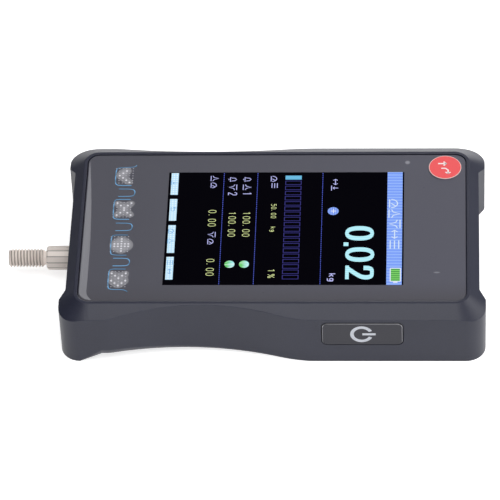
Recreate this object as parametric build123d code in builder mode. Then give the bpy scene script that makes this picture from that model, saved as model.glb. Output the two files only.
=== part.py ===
from build123d import *
import os
from math import cos, pi, radians, sqrt, tan

# Hand-held digital force gauge, lying on its back.
# Millimetres. +X runs from the force shaft to the header end of the screen,
# -Y is the side with the power button, +Z points out of the front panel.
# The origin is the centre of the flat back.

# ---------------------------------------------------------------- driving dimensions

# Housing
casing_length = 131.7        # over the corner bumps
casing_width = 75.2
casing_height = 21.2         # back face to rim of the front panel
corner_radius = 6.1
recess_depth = 1.95          # each end face lies back between its two corner bumps
recess_half_width = 25.6     # where the slanted step starts
recess_step_run = 3.0        # the step's width along Y
step_radius = 1.0

waist_x = -21.8              # deepest point of the hand grip
waist_depth = 4.0
waist_radius = 106.0
waist_blend_foot = 16.5      # blend at the foot end
waist_blend_long = 47.0      # and towards the middle

grip_round = 6.2             # rounding of the grip's lower edge at the foot end
grip_round_end = 0.15        # it runs out to almost nothing
grip_runout = 7.2            # length over which the foot's edge turns into the rounding
grip_overcut = 2.0
grip_lead = 0.12             # the rounding meets the wall at a shallow angle, not tangent

bevel_angle = 57.3           # slope around the panel, measured from the vertical
rim_width = 1.0              # flat rim between bevel and panel

# Front panel
panel_length = 119.6
panel_width = 64.0
panel_thickness = 1.8
panel_corner = 3.6
panel_edge = 0.2             # polished edge break
panel_gap = 0.2              # all round, in its recess
panel_sink = 0.15            # panel face below the rim
adhesive_thickness = 0.2
adhesive_margin = 0.6        # the adhesive stays back from the panel's edge

# Pull tab of the panel's protective film
tab_end_inset = 6.5          # tab's centre from the panel's header end
tab_side_inset = 6.0         # and from its long side
tab_diameter = 10.2
tab_thickness = 0.2
film_thickness = 0.1
film_margin = 0.4

# Display module and what is behind the panel
display_length = 85.0
display_width = 54.5
display_thickness = 3.2
display_x = 3.0
display_clearance = 0.4
view_length = 74.6           # opening of the adhesive sheet over the display
view_width = 49.8
deck_thickness = 2.0         # housing floor that the panel is glued to
touch_board_length = 15.0    # along X
touch_board_width = 56.0
touch_board_thickness = 0.8
touch_board_x = -48.0
touch_pad_size = 8.0
touch_pad_height = 0.2
touch_key_pitch = 14.9

# Cavity and rear cover
cavity_length = 119.0
cavity_width = 53.0
cavity_corner = 4.0
cover_thickness = 2.4
cover_ledge = 1.75           # the cover laps over the cavity's edge by this much
cover_corner = 5.5
cover_gap = 0.15
pillar_size = 6.6            # square screw blocks in the cavity's corners

# Fasteners
case_screw_diameter = 2.5
case_screw_head = 5.0
case_screw_length = 8.0
screw_clearance = 0.15       # radial, in a through hole
thread_clearance = 0.05      # radial, where a screw is driven in

# Stand mounting
insert_spacing_x = 60.0
insert_spacing_y = 42.0
insert_centre_x = -4.0
insert_across_flats = 6.2
insert_bore = 4.0
insert_length = 7.0
insert_boss = 8.6
insert_boss_top = 7.6

# Circuit board
board_thickness = 1.6
board_top = 14.2
board_left = -45.5
board_right = 50.5
board_width = 51.0
board_tongue_end = 58.4
board_tongue_width = 24.0
board_boss_size = 4.4
board_boss_left = -43.0
board_boss_right = 48.6
board_boss_y = 21.5

# Battery
battery_length = 50.0
battery_width = 30.0
battery_thickness = 7.0
battery_x = 30.0
battery_edge = 2.0
pad_thickness = 0.5
pad_margin = 3.0

# Load cell, an S-shaped beam loaded along X
shaft_axis_z = 7.2
cell_left = -56.2
cell_length = 33.0
cell_width = 24.0
cell_thickness = 9.4
cell_slot = 1.5
cell_slot_inset = 9.5        # from each end of the cell to its slot
cell_web = 4.0               # left at the blind end of each slot
cell_eye_diameter = 8.0      # the two eyes that thin the sensing beam
cell_eye_spacing = 7.0
cell_bore_depth = 7.4
cell_foot_length = 13.0      # the foot stands on the rear cover
cell_foot_width = 32.0

# Force shaft
thread_diameter = 6.0
thread_length = 11.1
thread_tip_chamfer = 0.6
neck_diameter = 4.4
neck_length = 0.9
grip_sides = 12
grip_across_flats = 7.44     # many-sided grip that a spanner or fingers hold
grip_turn = 9.2              # degrees, from the side of the gauge
grip_reach = 8.1             # in front of the end face
grip_chamfer = 0.35
shaft_hole_clearance = 0.45  # between the grip's corners and the housing
grip_sunk = 1.0              # inside the housing
journal_diameter = 5.0
journal_clearance = 0.05
bushing_size = 9.4           # square guide block
bushing_length = 3.0
journal_bore_clearance = 0.1 # in the load cell
journal_engagement = 5.4
shaft_travel = 0.3           # each way
nut_across_flats = 8.0
nut_clearance = 0.05         # left between jam nut and load cell at full travel
nut_thickness = 2.0

# Power button
button_x = 27.9
button_z = 12.3
button_length = 25.0
button_height = 9.6
button_corner = 1.75
button_edge = 0.4
button_gap = 0.15
button_proud = 0.3
button_wall = 2.8            # housing wall that the wings bear on
button_wing = 1.8
button_wing_thickness = 1.4
button_rest_gap = 0.1
button_travel = 0.4
stem_size = 3.2
stem_z = 10.85
switch_length = 6.2
switch_depth = 3.6
switch_height = 3.5
plunger_diameter = 2.4
plunger_reach = 2.4
plunger_clearance = 0.08
plunger_inside = 2.0

# Charging socket, at the header end
socket_width = 8.9
socket_height = 3.2
socket_depth = 7.4
socket_wall = 0.3
socket_gap = 0.25
socket_sunk = 0.8            # its mouth lies behind the end face
socket_tongue = 0.7

# Small electronics
processor_size = 12.0
processor_height = 1.4
processor_x = 20.0
shield_length = 18.0
shield_width = 14.0
shield_height = 2.0
shield_wall = 0.3
shield_x = 40.0
buzzer_size = 9.0
buzzer_height = 4.0
buzzer_x = 2.0
buzzer_y = 20.4
buzzer_hole = 2.0
ribbon_width = 18.0
ribbon_thickness = 0.3
connector_length = 4.0
connector_width = 21.0
connector_height = 1.5
connector_x = 48.4
ribbon_z = 16.5
header_length = 6.0
header_width = 4.4
header_height = 5.0
header_y = -20.5
battery_header_x = -6.0
cell_header_x = -15.5
cable_height = 2.4           # flat cables, standing on edge
cable_thickness = 1.1
battery_cable_bend = 3.0
battery_cable_y = -11.0
battery_cable_z = 8.6        # in line with both the header and the battery's end
cell_cable_bend = 5.0
cell_cable_x = -27.5

# ---------------------------------------------------------------- derived places

half_length = casing_length / 2
half_width = casing_width / 2
end_face_x = half_length - recess_depth
rim_length = panel_length + 2 * (panel_gap + rim_width)
rim_outer_width = panel_width + 2 * (panel_gap + rim_width)
rim_corner = panel_corner + panel_gap + rim_width
bevel_spread = casing_height * tan(radians(bevel_angle))
waist_half_chord = sqrt(waist_radius**2 - (waist_radius - waist_depth) ** 2)

panel_top = casing_height - panel_sink
tab_x = panel_length / 2 - tab_end_inset
tab_y = panel_width / 2 - tab_side_inset
panel_base = panel_top - panel_thickness
ledge_z = panel_base - adhesive_thickness
deck_base = ledge_z - deck_thickness
display_base = ledge_z - display_thickness
board_base = board_top - board_thickness
touch_board_top = ledge_z - touch_pad_height

cover_length = cavity_length + 2 * cover_ledge
cover_width = cavity_width + 2 * cover_ledge
cavity_half_length = cavity_length / 2
cavity_half_width = cavity_width / 2

cell_right = cell_left + cell_length
cell_centre_x = cell_left + cell_length / 2
cell_base = shaft_axis_z - cell_thickness / 2
cell_top = shaft_axis_z + cell_thickness / 2

grip_left = -(end_face_x + grip_reach)
neck_left = grip_left - neck_length
tip_x = neck_left - thread_length
grip_right = -end_face_x + grip_sunk
nut_right = cell_left - shaft_travel - nut_clearance
nut_left = nut_right - nut_thickness
grip_circumradius = grip_across_flats / 2 / cos(pi / grip_sides)

button_face_y = -half_width - button_proud
wall_inner_y = -half_width + button_wall
wing_front_y = wall_inner_y + button_rest_gap
wing_back_y = wing_front_y + button_wing_thickness
switch_front_y = -board_width / 2
socket_z = board_base - socket_height / 2
socket_mouth_x = end_face_x - socket_sunk
plunger_front_y = switch_front_y - plunger_reach

pillar_x = cavity_half_length - pillar_size / 2
pillar_y = cavity_half_width - pillar_size / 2
pillar_places = [(x, y) for x in (-pillar_x, pillar_x) for y in (-pillar_y, pillar_y)]
board_boss_places = [
    (x, y) for x in (board_boss_left, board_boss_right) for y in (-board_boss_y, board_boss_y)
]
insert_places = [
    (insert_centre_x + i * insert_spacing_x / 2, j * insert_spacing_y / 2)
    for i in (-1, 1) for j in (-1, 1)
]

os.makedirs("parts", exist_ok=True)


def save(piece, name):
    """Label one finished piece and write it under the same name."""
    piece.part.label = name
    export_step(piece.part, f"parts/{name}.step")


def across_y(x, y, z):
    """Plane at a point, facing +Y, with its first direction along +X."""
    return Plane(origin=(x, y, z), x_dir=(1, 0, 0), z_dir=(0, 1, 0))


def across_x(x, z):
    """Plane on the centre line, facing +X, with its first direction along +Y."""
    return Plane(origin=(x, 0, z), x_dir=(0, 1, 0), z_dir=(1, 0, 0))


# ---------------------------------------------------------------- housing

with BuildSketch() as casing_outline:
    RectangleRounded(casing_length, casing_width, corner_radius)
    # each end face is set back between two corner bumps
    with BuildLine() as recess_line:
        Polyline(
            (half_length + 1, -recess_half_width - recess_step_run),
            (half_length, -recess_half_width - recess_step_run),
            (end_face_x, -recess_half_width),
            (end_face_x, recess_half_width),
            (half_length, recess_half_width + recess_step_run),
            (half_length + 1, recess_half_width + recess_step_run),
            close=True,
        )
    end_recess = make_face(mode=Mode.SUBTRACT)
    mirror(end_recess, about=Plane.YZ, mode=Mode.SUBTRACT)
    step_corners = casing_outline.vertices().filter_by(
        lambda v: abs(v.X) > end_face_x - 0.01 and abs(v.Y) < recess_half_width + recess_step_run + 0.01
    )
    fillet(step_corners, radius=step_radius)
    # the waist that the hand closes round
    waist_circle_y = half_width - waist_depth + waist_radius
    with Locations((waist_x, waist_circle_y), (waist_x, -waist_circle_y)):
        Circle(waist_radius, mode=Mode.SUBTRACT)
    for side, blend_radius in ((-1, waist_blend_foot), (1, waist_blend_long)):
        corner_x = waist_x + side * waist_half_chord
        waist_corners = casing_outline.vertices().filter_by(lambda v: abs(v.X - corner_x) < 0.01)
        fillet(waist_corners, radius=blend_radius)


def grip_section(plane, radius):
    """Corner piece that rounds the lower edge: what lies outside a quarter circle."""
    reach = radius + grip_lead
    with BuildSketch(plane) as section:
        with BuildLine():
            RadiusArc((-grip_lead, radius), (radius, -grip_lead), -reach)
            Polyline(
                (radius, -grip_lead),
                (radius, -grip_overcut),
                (-grip_overcut, -grip_overcut),
                (-grip_overcut, radius),
                (-grip_lead, radius),
            )
        make_face()
    return section.sketch.face()


near_grip_edges = casing_outline.edges().filter_by(GeomType.CIRCLE).filter_by(
    lambda e: e.center().Y < 0 and e.radius > corner_radius + 1
)
grip_path = Wire(near_grip_edges.sort_by(Axis.X))
grip_start = grip_path @ 0
grip_end = grip_path @ 1
start_plane = Plane(origin=grip_start, x_dir=(0, 1, 0), z_dir=(1, 0, 0))
end_plane = Plane(origin=grip_end, x_dir=(0, 1, 0), z_dir=(1, 0, 0))
foot_plane = start_plane.offset(-grip_runout)

with BuildPart() as grip_cutter:
    sweep(
        sections=[grip_section(start_plane, grip_round), grip_section(end_plane, grip_round_end)],
        path=grip_path,
        multisection=True,
    )
    loft(
        sections=[grip_section(foot_plane, grip_round_end), grip_section(start_plane, grip_round)],
        ruled=True,
    )

with BuildPart() as housing:
    extrude(casing_outline.sketch, amount=casing_height)
    # one constant slope all round, from the panel's rim down to the walls
    with BuildSketch():
        RectangleRounded(
            rim_length + 2 * bevel_spread,
            rim_outer_width + 2 * bevel_spread,
            rim_corner + bevel_spread,
        )
    with BuildSketch(Plane.XY.offset(casing_height)):
        RectangleRounded(rim_length, rim_outer_width, rim_corner)
    loft(ruled=True, mode=Mode.INTERSECT)
    # rounded lower edge of the hand grip, on both sides
    add(grip_cutter.part, mode=Mode.SUBTRACT)
    mirror(grip_cutter.part, about=Plane.XZ, mode=Mode.SUBTRACT)
    # seat of the front panel, with pockets for the display and the touch board
    with BuildSketch(Plane.XY.offset(ledge_z)):
        RectangleRounded(
            panel_length + 2 * panel_gap, panel_width + 2 * panel_gap, panel_corner + panel_gap
        )
    extrude(amount=casing_height, mode=Mode.SUBTRACT)
    with BuildSketch(Plane.XY.offset(display_base)):
        with Locations((display_x, 0)):
            Rectangle(display_length + 2 * display_clearance, display_width + 2 * display_clearance)
    extrude(amount=casing_height, mode=Mode.SUBTRACT)
    with BuildSketch(Plane.XY.offset(touch_board_top - touch_board_thickness)):
        with Locations((touch_board_x, 0)):
            Rectangle(
                touch_board_length + 2 * display_clearance, touch_board_width + 2 * display_clearance
            )
    extrude(amount=casing_height, mode=Mode.SUBTRACT)
    # cavity and the recess of the rear cover
    with BuildSketch(Plane.XY.offset(cover_thickness)):
        RectangleRounded(cavity_length, cavity_width, cavity_corner)
    extrude(amount=deck_base - cover_thickness, mode=Mode.SUBTRACT)
    with BuildSketch():
        RectangleRounded(cover_length + 2 * cover_gap, cover_width + 2 * cover_gap, cover_corner + cover_gap)
    extrude(amount=cover_thickness, mode=Mode.SUBTRACT)
    # pillars for the cover's screws and bosses for the circuit board
    with BuildSketch(Plane.XY.offset(cover_thickness)):
        with Locations(*pillar_places):
            Rectangle(pillar_size, pillar_size)
            Circle(case_screw_diameter / 2 + thread_clearance, mode=Mode.SUBTRACT)
    extrude(amount=deck_base - cover_thickness)
    with BuildSketch(Plane.XY.offset(board_top)):
        with Locations(*board_boss_places):
            Rectangle(board_boss_size, board_boss_size)
    extrude(amount=deck_base - board_top)
    # window of the power button, with a wider pocket behind it for the wings
    with BuildSketch(across_y(button_x, wall_inner_y, button_z)):
        RectangleRounded(
            button_length + 2 * button_gap, button_height + 2 * button_gap, button_corner + button_gap
        )
    extrude(amount=-2 * button_wall, mode=Mode.SUBTRACT)
    with BuildSketch(across_y(button_x, wall_inner_y, button_z)):
        Rectangle(button_length + 2 * (button_wing + button_gap), button_height + 2 * button_gap)
    extrude(amount=half_width - button_wall - cavity_half_width, mode=Mode.SUBTRACT)
    # hole of the force shaft, with the seat of its guide bushing
    with BuildSketch(across_x(-half_length, shaft_axis_z)):
        Circle(grip_circumradius + shaft_hole_clearance)
    extrude(amount=half_length - cavity_half_length, mode=Mode.SUBTRACT)
    with BuildSketch(across_x(-cavity_half_length - bushing_length, shaft_axis_z)):
        Rectangle(bushing_size, bushing_size)
    extrude(amount=bushing_length, mode=Mode.SUBTRACT)
    # mouth of the charging socket
    with BuildSketch(across_x(cavity_half_length, socket_z)):
        SlotOverall(socket_width + 2 * socket_gap, socket_height + 2 * socket_gap)
    extrude(amount=half_length - cavity_half_length, mode=Mode.SUBTRACT)
save(housing, "housing")


# ---------------------------------------------------------------- rear cover and its screws


def countersunk_screw(x, y):
    """Countersunk screw, its head flush with the back of the gauge."""
    head_radius = case_screw_head / 2
    shank_radius = case_screw_diameter / 2
    with BuildPart() as screw:
        with BuildSketch(Plane(origin=(x, y, 0), x_dir=(1, 0, 0), z_dir=(0, -1, 0))):
            Polygon(
                (0, 0),
                (head_radius, 0),
                (shank_radius, head_radius - shank_radius),
                (shank_radius, case_screw_length),
                (0, case_screw_length),
                align=None,
            )
        revolve(axis=Axis((x, y, 0), (0, 0, 1)))
    return screw


with BuildPart() as rear_cover:
    with BuildSketch():
        RectangleRounded(cover_length, cover_width, cover_corner)
    extrude(amount=cover_thickness)
    with BuildSketch(Plane.XY.offset(cover_thickness)):
        with Locations(*insert_places):
            Rectangle(insert_boss, insert_boss)
    extrude(amount=insert_boss_top - cover_thickness)
    with BuildSketch():
        with Locations(*insert_places):
            RegularPolygon(insert_across_flats / 2, 6, major_radius=False)
    extrude(amount=insert_length, mode=Mode.SUBTRACT)
    with Locations(*[Location((x, y, 0), (180, 0, 0)) for x, y in pillar_places]):
        CounterSinkHole(
            radius=case_screw_diameter / 2 + screw_clearance,
            counter_sink_radius=case_screw_head / 2 + screw_clearance,
            depth=cover_thickness,
            counter_sink_angle=90,
        )
save(rear_cover, "rear_cover")

for number, (x, y) in enumerate(pillar_places, start=1):
    save(countersunk_screw(x, y), f"case_screw_{number}")

for number, (x, y) in enumerate(insert_places, start=1):
    with BuildPart() as mount_insert:
        with BuildSketch():
            with Locations((x, y)):
                RegularPolygon(insert_across_flats / 2, 6, major_radius=False)
                Circle(insert_bore / 2, mode=Mode.SUBTRACT)
        extrude(amount=insert_length)
    save(mount_insert, f"mount_insert_{number}")

# ---------------------------------------------------------------- front panel and display

with BuildPart() as front_panel:
    with BuildSketch(Plane.XY.offset(panel_base)):
        RectangleRounded(panel_length, panel_width, panel_corner)
    extrude(amount=panel_thickness)
    chamfer(front_panel.faces().sort_by(Axis.Z)[-1].edges(), length=panel_edge)
save(front_panel, "front_panel")

with BuildPart() as panel_adhesive:
    with BuildSketch(Plane.XY.offset(ledge_z)):
        RectangleRounded(
            panel_length - 2 * adhesive_margin, panel_width - 2 * adhesive_margin, panel_corner
        )
        with Locations((display_x, 0)):
            Rectangle(view_length, view_width, mode=Mode.SUBTRACT)
    extrude(amount=adhesive_thickness)
save(panel_adhesive, "panel_adhesive")

with BuildPart() as protective_film:
    with BuildSketch(Plane.XY.offset(panel_top)):
        RectangleRounded(panel_length - 2 * film_margin, panel_width - 2 * film_margin, panel_corner)
    extrude(amount=film_thickness)
save(protective_film, "protective_film")

with BuildPart() as pull_tab:
    with BuildSketch(Plane.XY.offset(panel_top + film_thickness)):
        with Locations((tab_x, tab_y)):
            Circle(tab_diameter / 2)
    extrude(amount=tab_thickness)
save(pull_tab, "pull_tab")

with BuildPart() as display:
    with BuildSketch(Plane.XY.offset(display_base)):
        with Locations((display_x, 0)):
            Rectangle(display_length, display_width)
    extrude(amount=display_thickness)
save(display, "display")

with BuildPart() as display_pad:
    with BuildSketch(Plane.XY.offset(board_top)):
        with Locations((display_x, 0)):
            Rectangle(display_length - 4 * pad_margin, display_width - 4 * pad_margin)
    extrude(amount=display_base - board_top)
save(display_pad, "display_pad")

with BuildPart() as touch_board:
    with BuildSketch(Plane.XY.offset(touch_board_top - touch_board_thickness)):
        with Locations((touch_board_x, 0)):
            Rectangle(touch_board_length, touch_board_width)
    extrude(amount=touch_board_thickness)
    with BuildSketch(Plane.XY.offset(touch_board_top)):
        with Locations((touch_board_x, 0)):
            with GridLocations(0, touch_key_pitch, 1, 4):
                Rectangle(touch_pad_size, touch_pad_size)
    extrude(amount=touch_pad_height)
save(touch_board, "touch_board")

# ---------------------------------------------------------------- circuit board

with BuildPart() as main_board:
    with BuildSketch(Plane.XY.offset(board_base)):
        with Locations(((board_left + board_right) / 2, 0)):
            Rectangle(board_right - board_left, board_width)
        with Locations(((board_right + board_tongue_end) / 2, 0)):
            Rectangle(board_tongue_end - board_right, board_tongue_width)
    extrude(amount=board_thickness)
save(main_board, "main_board")

with BuildPart() as processor:
    with BuildSketch(Plane.XY.offset(board_base - processor_height)):
        with Locations((processor_x, 0)):
            Rectangle(processor_size, processor_size)
    extrude(amount=processor_height)
save(processor, "processor")

with BuildPart() as sensor_shield:
    with BuildSketch(Plane.XY.offset(board_base - shield_height)):
        with Locations((shield_x, 0)):
            Rectangle(shield_length, shield_width)
    extrude(amount=shield_height)
    with BuildSketch(Plane.XY.offset(board_base - shield_height + shield_wall)):
        with Locations((shield_x, 0)):
            Rectangle(shield_length - 2 * shield_wall, shield_width - 2 * shield_wall)
    extrude(amount=shield_height - shield_wall, mode=Mode.SUBTRACT)
save(sensor_shield, "sensor_shield")

with BuildPart() as buzzer:
    with BuildSketch(Plane.XY.offset(board_base - buzzer_height)):
        with Locations((buzzer_x, buzzer_y)):
            Rectangle(buzzer_size, buzzer_size)
    extrude(amount=buzzer_height)
    with BuildSketch(Plane.XY.offset(board_base - buzzer_height)):
        with Locations((buzzer_x, buzzer_y)):
            Circle(buzzer_hole / 2)
    extrude(amount=buzzer_height / 4, mode=Mode.SUBTRACT)
save(buzzer, "buzzer")

with BuildPart() as display_connector:
    with BuildSketch(Plane.XY.offset(board_top)):
        with Locations((connector_x, 0)):
            Rectangle(connector_length, connector_width)
    extrude(amount=connector_height)
save(display_connector, "display_connector")

display_end_x = display_x + display_length / 2
with BuildPart() as display_ribbon:
    # flat cable that drops from the display's end onto the connector
    with BuildSketch(across_y(0, -ribbon_width / 2, 0)):
        with BuildLine():
            FilletPolyline(
                (display_end_x, -ribbon_z),
                (connector_x - connector_length / 4, -ribbon_z),
                (connector_x, -board_top - connector_height - ribbon_thickness / 2),
                (connector_x + connector_length / 2, -board_top - connector_height - ribbon_thickness / 2),
                radius=ribbon_thickness * 2,
            )
        trace(line_width=ribbon_thickness)
    extrude(amount=ribbon_width)
save(display_ribbon, "display_ribbon")

for name, x in (("battery_header", battery_header_x), ("cell_header", cell_header_x)):
    with BuildPart() as header:
        with BuildSketch(Plane.XY.offset(board_base - header_height)):
            with Locations((x, header_y)):
                Rectangle(header_length, header_width)
        extrude(amount=header_height)
    save(header, name)

with BuildPart() as charging_socket:
    with BuildSketch(across_x(socket_mouth_x, socket_z)):
        SlotOverall(socket_width, socket_height)
    extrude(amount=-socket_depth)
    with BuildSketch(across_x(socket_mouth_x, socket_z)):
        SlotOverall(socket_width - 2 * socket_wall, socket_height - 2 * socket_wall)
    extrude(amount=socket_wall - socket_depth, mode=Mode.SUBTRACT)
    with BuildSketch(across_x(socket_mouth_x - socket_depth, socket_z)):
        Rectangle(socket_width - socket_height, socket_tongue)
    extrude(amount=socket_depth - socket_tongue)
save(charging_socket, "charging_socket")

# ---------------------------------------------------------------- battery

battery_base = cover_thickness + pad_thickness
with BuildPart() as battery_pad:
    with BuildSketch(Plane.XY.offset(cover_thickness)):
        with Locations((battery_x, 0)):
            Rectangle(battery_length - 2 * pad_margin, battery_width - 2 * pad_margin)
    extrude(amount=pad_thickness)
save(battery_pad, "battery_pad")

with BuildPart() as battery_pack:
    with BuildSketch(Plane.XY.offset(battery_base)):
        with Locations((battery_x, 0)):
            Rectangle(battery_length, battery_width)
    extrude(amount=battery_thickness)
    fillet(battery_pack.edges().filter_by(Axis.X), radius=battery_edge)
save(battery_pack, "battery_pack")

# ---------------------------------------------------------------- load cell

with BuildPart() as load_cell:
    with BuildSketch(Plane.XY.offset(cell_base)):
        with Locations((cell_centre_x, 0)):
            Rectangle(cell_length, cell_width)
        # one slot from each side leaves an S, with thin webs at the slots' blind ends
        slot_shift = cell_length / 2 - cell_slot_inset
        slot_length = cell_width - cell_web
        with Locations(
            (cell_centre_x - slot_shift, cell_web / 2), (cell_centre_x + slot_shift, -cell_web / 2)
        ):
            Rectangle(cell_slot, slot_length, mode=Mode.SUBTRACT)
        # two eyes joined into one opening thin the sensing beams
        with Locations((cell_centre_x, 0)):
            with GridLocations(0, cell_eye_spacing, 1, 2):
                Circle(cell_eye_diameter / 2, mode=Mode.SUBTRACT)
    extrude(amount=cell_thickness)
    # the foot at its fixed end
    with BuildSketch(Plane.XY.offset(cover_thickness)):
        with Locations((cell_right + cell_foot_length / 2, 0)):
            Rectangle(cell_foot_length, cell_foot_width)
    extrude(amount=cell_top - cover_thickness)
    # bore that takes the end of the force shaft
    with BuildSketch(across_x(cell_left, shaft_axis_z)):
        Circle(journal_diameter / 2 + journal_bore_clearance)
    extrude(amount=cell_bore_depth, mode=Mode.SUBTRACT)
save(load_cell, "load_cell")

# ---------------------------------------------------------------- internal cables


def flat_cable(points, bend, z):
    """Flat cable standing on edge, along straight runs in the XY plane that are joined by arcs."""
    with BuildPart() as cable:
        with BuildSketch(Plane.XY.offset(z - cable_height / 2)):
            with BuildLine():
                FilletPolyline(*points, radius=bend)
            trace(line_width=cable_thickness)
        extrude(amount=cable_height)
    return cable


header_z = board_base - header_height / 2
cell_cable = flat_cable(
    [
        (cell_header_x - header_length / 2, header_y),
        (cell_cable_x, header_y),
        (cell_cable_x, -cell_width / 2),
    ],
    cell_cable_bend,
    header_z,
)
save(cell_cable, "cell_cable")

battery_left = battery_x - battery_length / 2
header_right = battery_header_x + header_length / 2
battery_cable_turn = (header_right + battery_left) / 2
battery_cable = flat_cable(
    [
        (header_right, header_y),
        (battery_cable_turn, header_y),
        (battery_cable_turn, battery_cable_y),
        (battery_left, battery_cable_y),
    ],
    battery_cable_bend,
    battery_cable_z,
)
save(battery_cable, "battery_cable")

# ---------------------------------------------------------------- force shaft

with BuildPart() as shaft_bushing:
    with BuildSketch(across_x(-cavity_half_length - bushing_length, shaft_axis_z)):
        Rectangle(bushing_size, bushing_size)
        Circle(journal_diameter / 2 + journal_clearance, mode=Mode.SUBTRACT)
    extrude(amount=bushing_length)
save(shaft_bushing, "shaft_bushing")

journal_end = cell_left + journal_engagement
with BuildPart() as force_shaft:
    # turned stud, neck and journal about the shaft's axis
    with BuildSketch(across_y(0, 0, shaft_axis_z)):
        Polygon(
            (tip_x, 0),
            (tip_x, thread_diameter / 2 - thread_tip_chamfer),
            (tip_x + thread_tip_chamfer, thread_diameter / 2),
            (neck_left, thread_diameter / 2),
            (neck_left, neck_diameter / 2),
            (grip_left, neck_diameter / 2),
            (grip_left, journal_diameter / 2),
            (journal_end, journal_diameter / 2),
            (journal_end, 0),
            align=None,
        )
    revolve(axis=Axis((0, 0, shaft_axis_z), (1, 0, 0)))
    with BuildSketch(across_x(grip_left, shaft_axis_z)):
        RegularPolygon(grip_across_flats / 2, grip_sides, major_radius=False, rotation=grip_turn)
    extrude(amount=grip_right - grip_left)
    grip_front = force_shaft.faces().filter_by(Axis.X).filter_by(
        lambda face: abs(face.center().X - grip_left) < 0.01
    )
    chamfer(grip_front[0].outer_wire().edges(), length=grip_chamfer)
save(force_shaft, "force_shaft")

with BuildPart() as jam_nut:
    with BuildSketch(across_x(nut_left, shaft_axis_z)):
        RegularPolygon(nut_across_flats / 2, 6, major_radius=False)
        Circle(journal_diameter / 2, mode=Mode.SUBTRACT)
    extrude(amount=nut_thickness)
save(jam_nut, "jam_nut")

# ---------------------------------------------------------------- power button

with BuildPart() as power_button:
    with BuildSketch(across_y(button_x, button_face_y, button_z)):
        RectangleRounded(button_length, button_height, button_corner)
    extrude(amount=wing_back_y - button_face_y)
    chamfer(power_button.faces().sort_by(Axis.Y)[0].edges(), length=button_edge)
    with BuildSketch(across_y(button_x, wing_front_y, button_z)):
        Rectangle(button_length + 2 * button_wing, button_height)
    extrude(amount=button_wing_thickness)
    with BuildSketch(across_y(button_x, wing_back_y, stem_z)):
        Rectangle(stem_size, stem_size)
    extrude(amount=plunger_front_y - wing_back_y)
save(power_button, "power_button")

with BuildPart() as switch_plunger:
    with BuildSketch(across_y(button_x, plunger_front_y, stem_z)):
        Circle(plunger_diameter / 2)
    extrude(amount=plunger_reach + plunger_inside)
save(switch_plunger, "switch_plunger")

with BuildPart() as power_switch:
    with BuildSketch(Plane.XY.offset(board_base - switch_height)):
        with Locations((button_x, switch_front_y + switch_depth / 2)):
            Rectangle(switch_length, switch_depth)
    extrude(amount=switch_height)
    with BuildSketch(across_y(button_x, switch_front_y, stem_z)):
        Circle(plunger_diameter / 2 + plunger_clearance)
    extrude(amount=plunger_inside + 2 * button_travel, mode=Mode.SUBTRACT)
save(power_switch, "power_switch")
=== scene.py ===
# %% [markdown]
# # A hand-held digital force gauge
# A force gauge measures a push or a pull on the threaded stud at its end and
# shows it on a screen. The solid parts come from a CAD model that is already
# the right size, so this notebook adds what CAD leaves out: finishes, the lit
# screen, printed marks, real threads, light and a camera.

# %% Load the solid model
import math

import bpy
import numpy as np
from mathutils import Matrix, Vector


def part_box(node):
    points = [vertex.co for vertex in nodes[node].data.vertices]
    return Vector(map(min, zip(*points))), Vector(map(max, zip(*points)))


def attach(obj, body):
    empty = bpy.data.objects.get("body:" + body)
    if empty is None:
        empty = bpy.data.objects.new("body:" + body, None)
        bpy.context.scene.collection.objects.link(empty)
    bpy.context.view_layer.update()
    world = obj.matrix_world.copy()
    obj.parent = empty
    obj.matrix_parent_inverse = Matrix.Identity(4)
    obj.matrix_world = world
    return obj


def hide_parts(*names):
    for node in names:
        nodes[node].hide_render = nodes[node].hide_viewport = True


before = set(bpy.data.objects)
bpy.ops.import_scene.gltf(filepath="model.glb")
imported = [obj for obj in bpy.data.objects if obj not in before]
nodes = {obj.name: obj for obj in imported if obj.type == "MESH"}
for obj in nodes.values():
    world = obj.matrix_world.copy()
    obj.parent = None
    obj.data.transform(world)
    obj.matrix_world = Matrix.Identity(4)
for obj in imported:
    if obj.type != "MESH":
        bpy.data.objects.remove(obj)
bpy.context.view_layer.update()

# %% [markdown]
# ## Camera
# The gauge lies on its back and is seen from its button side, from halfway up
# the sky. A long lens from over a metre away keeps its long edges nearly
# parallel. The camera's three axes are worked out from the direction in which
# it stands, then turned a little about the line of sight.

# %% Camera
MM, PER_METRE = 0.001, 1000.0
CAMERA_TARGET = np.array([-7.946, 0.622, 10.0]) * MM
CAMERA_AZIMUTH, CAMERA_ELEVATION, CAMERA_ROLL = np.radians([3.85, 45.72, -2.807])
CAMERA_DISTANCE = 1.33172
FOCAL_IN_PIXELS, PICTURE_PIXELS = 4238.4, 500.0
SENSOR_WIDTH, CLIP_NEAR, CLIP_FAR = 36.0, 0.05, 50.0


def new_object(name, data):
    """Object with the given mesh, lamp or lens, put into the scene."""
    made = bpy.data.objects.new(name, data)
    bpy.context.scene.collection.objects.link(made)
    return made


def camera_axes(azimuth, elevation, roll):
    """Columns are the camera's right, up and backward directions. Backward points from the
    target to the camera, right is level and square to it, and both turn by roll about it."""
    backward = np.array([
        math.sin(azimuth) * math.cos(elevation),
        -math.cos(azimuth) * math.cos(elevation),
        math.sin(elevation),
    ])
    right = np.cross([0, 0, 1], backward)
    right /= np.linalg.norm(right)
    up = np.cross(backward, right)
    turned_right = math.cos(roll) * right + math.sin(roll) * up
    turned_up = -math.sin(roll) * right + math.cos(roll) * up
    return np.column_stack([turned_right, turned_up, backward])


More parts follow.
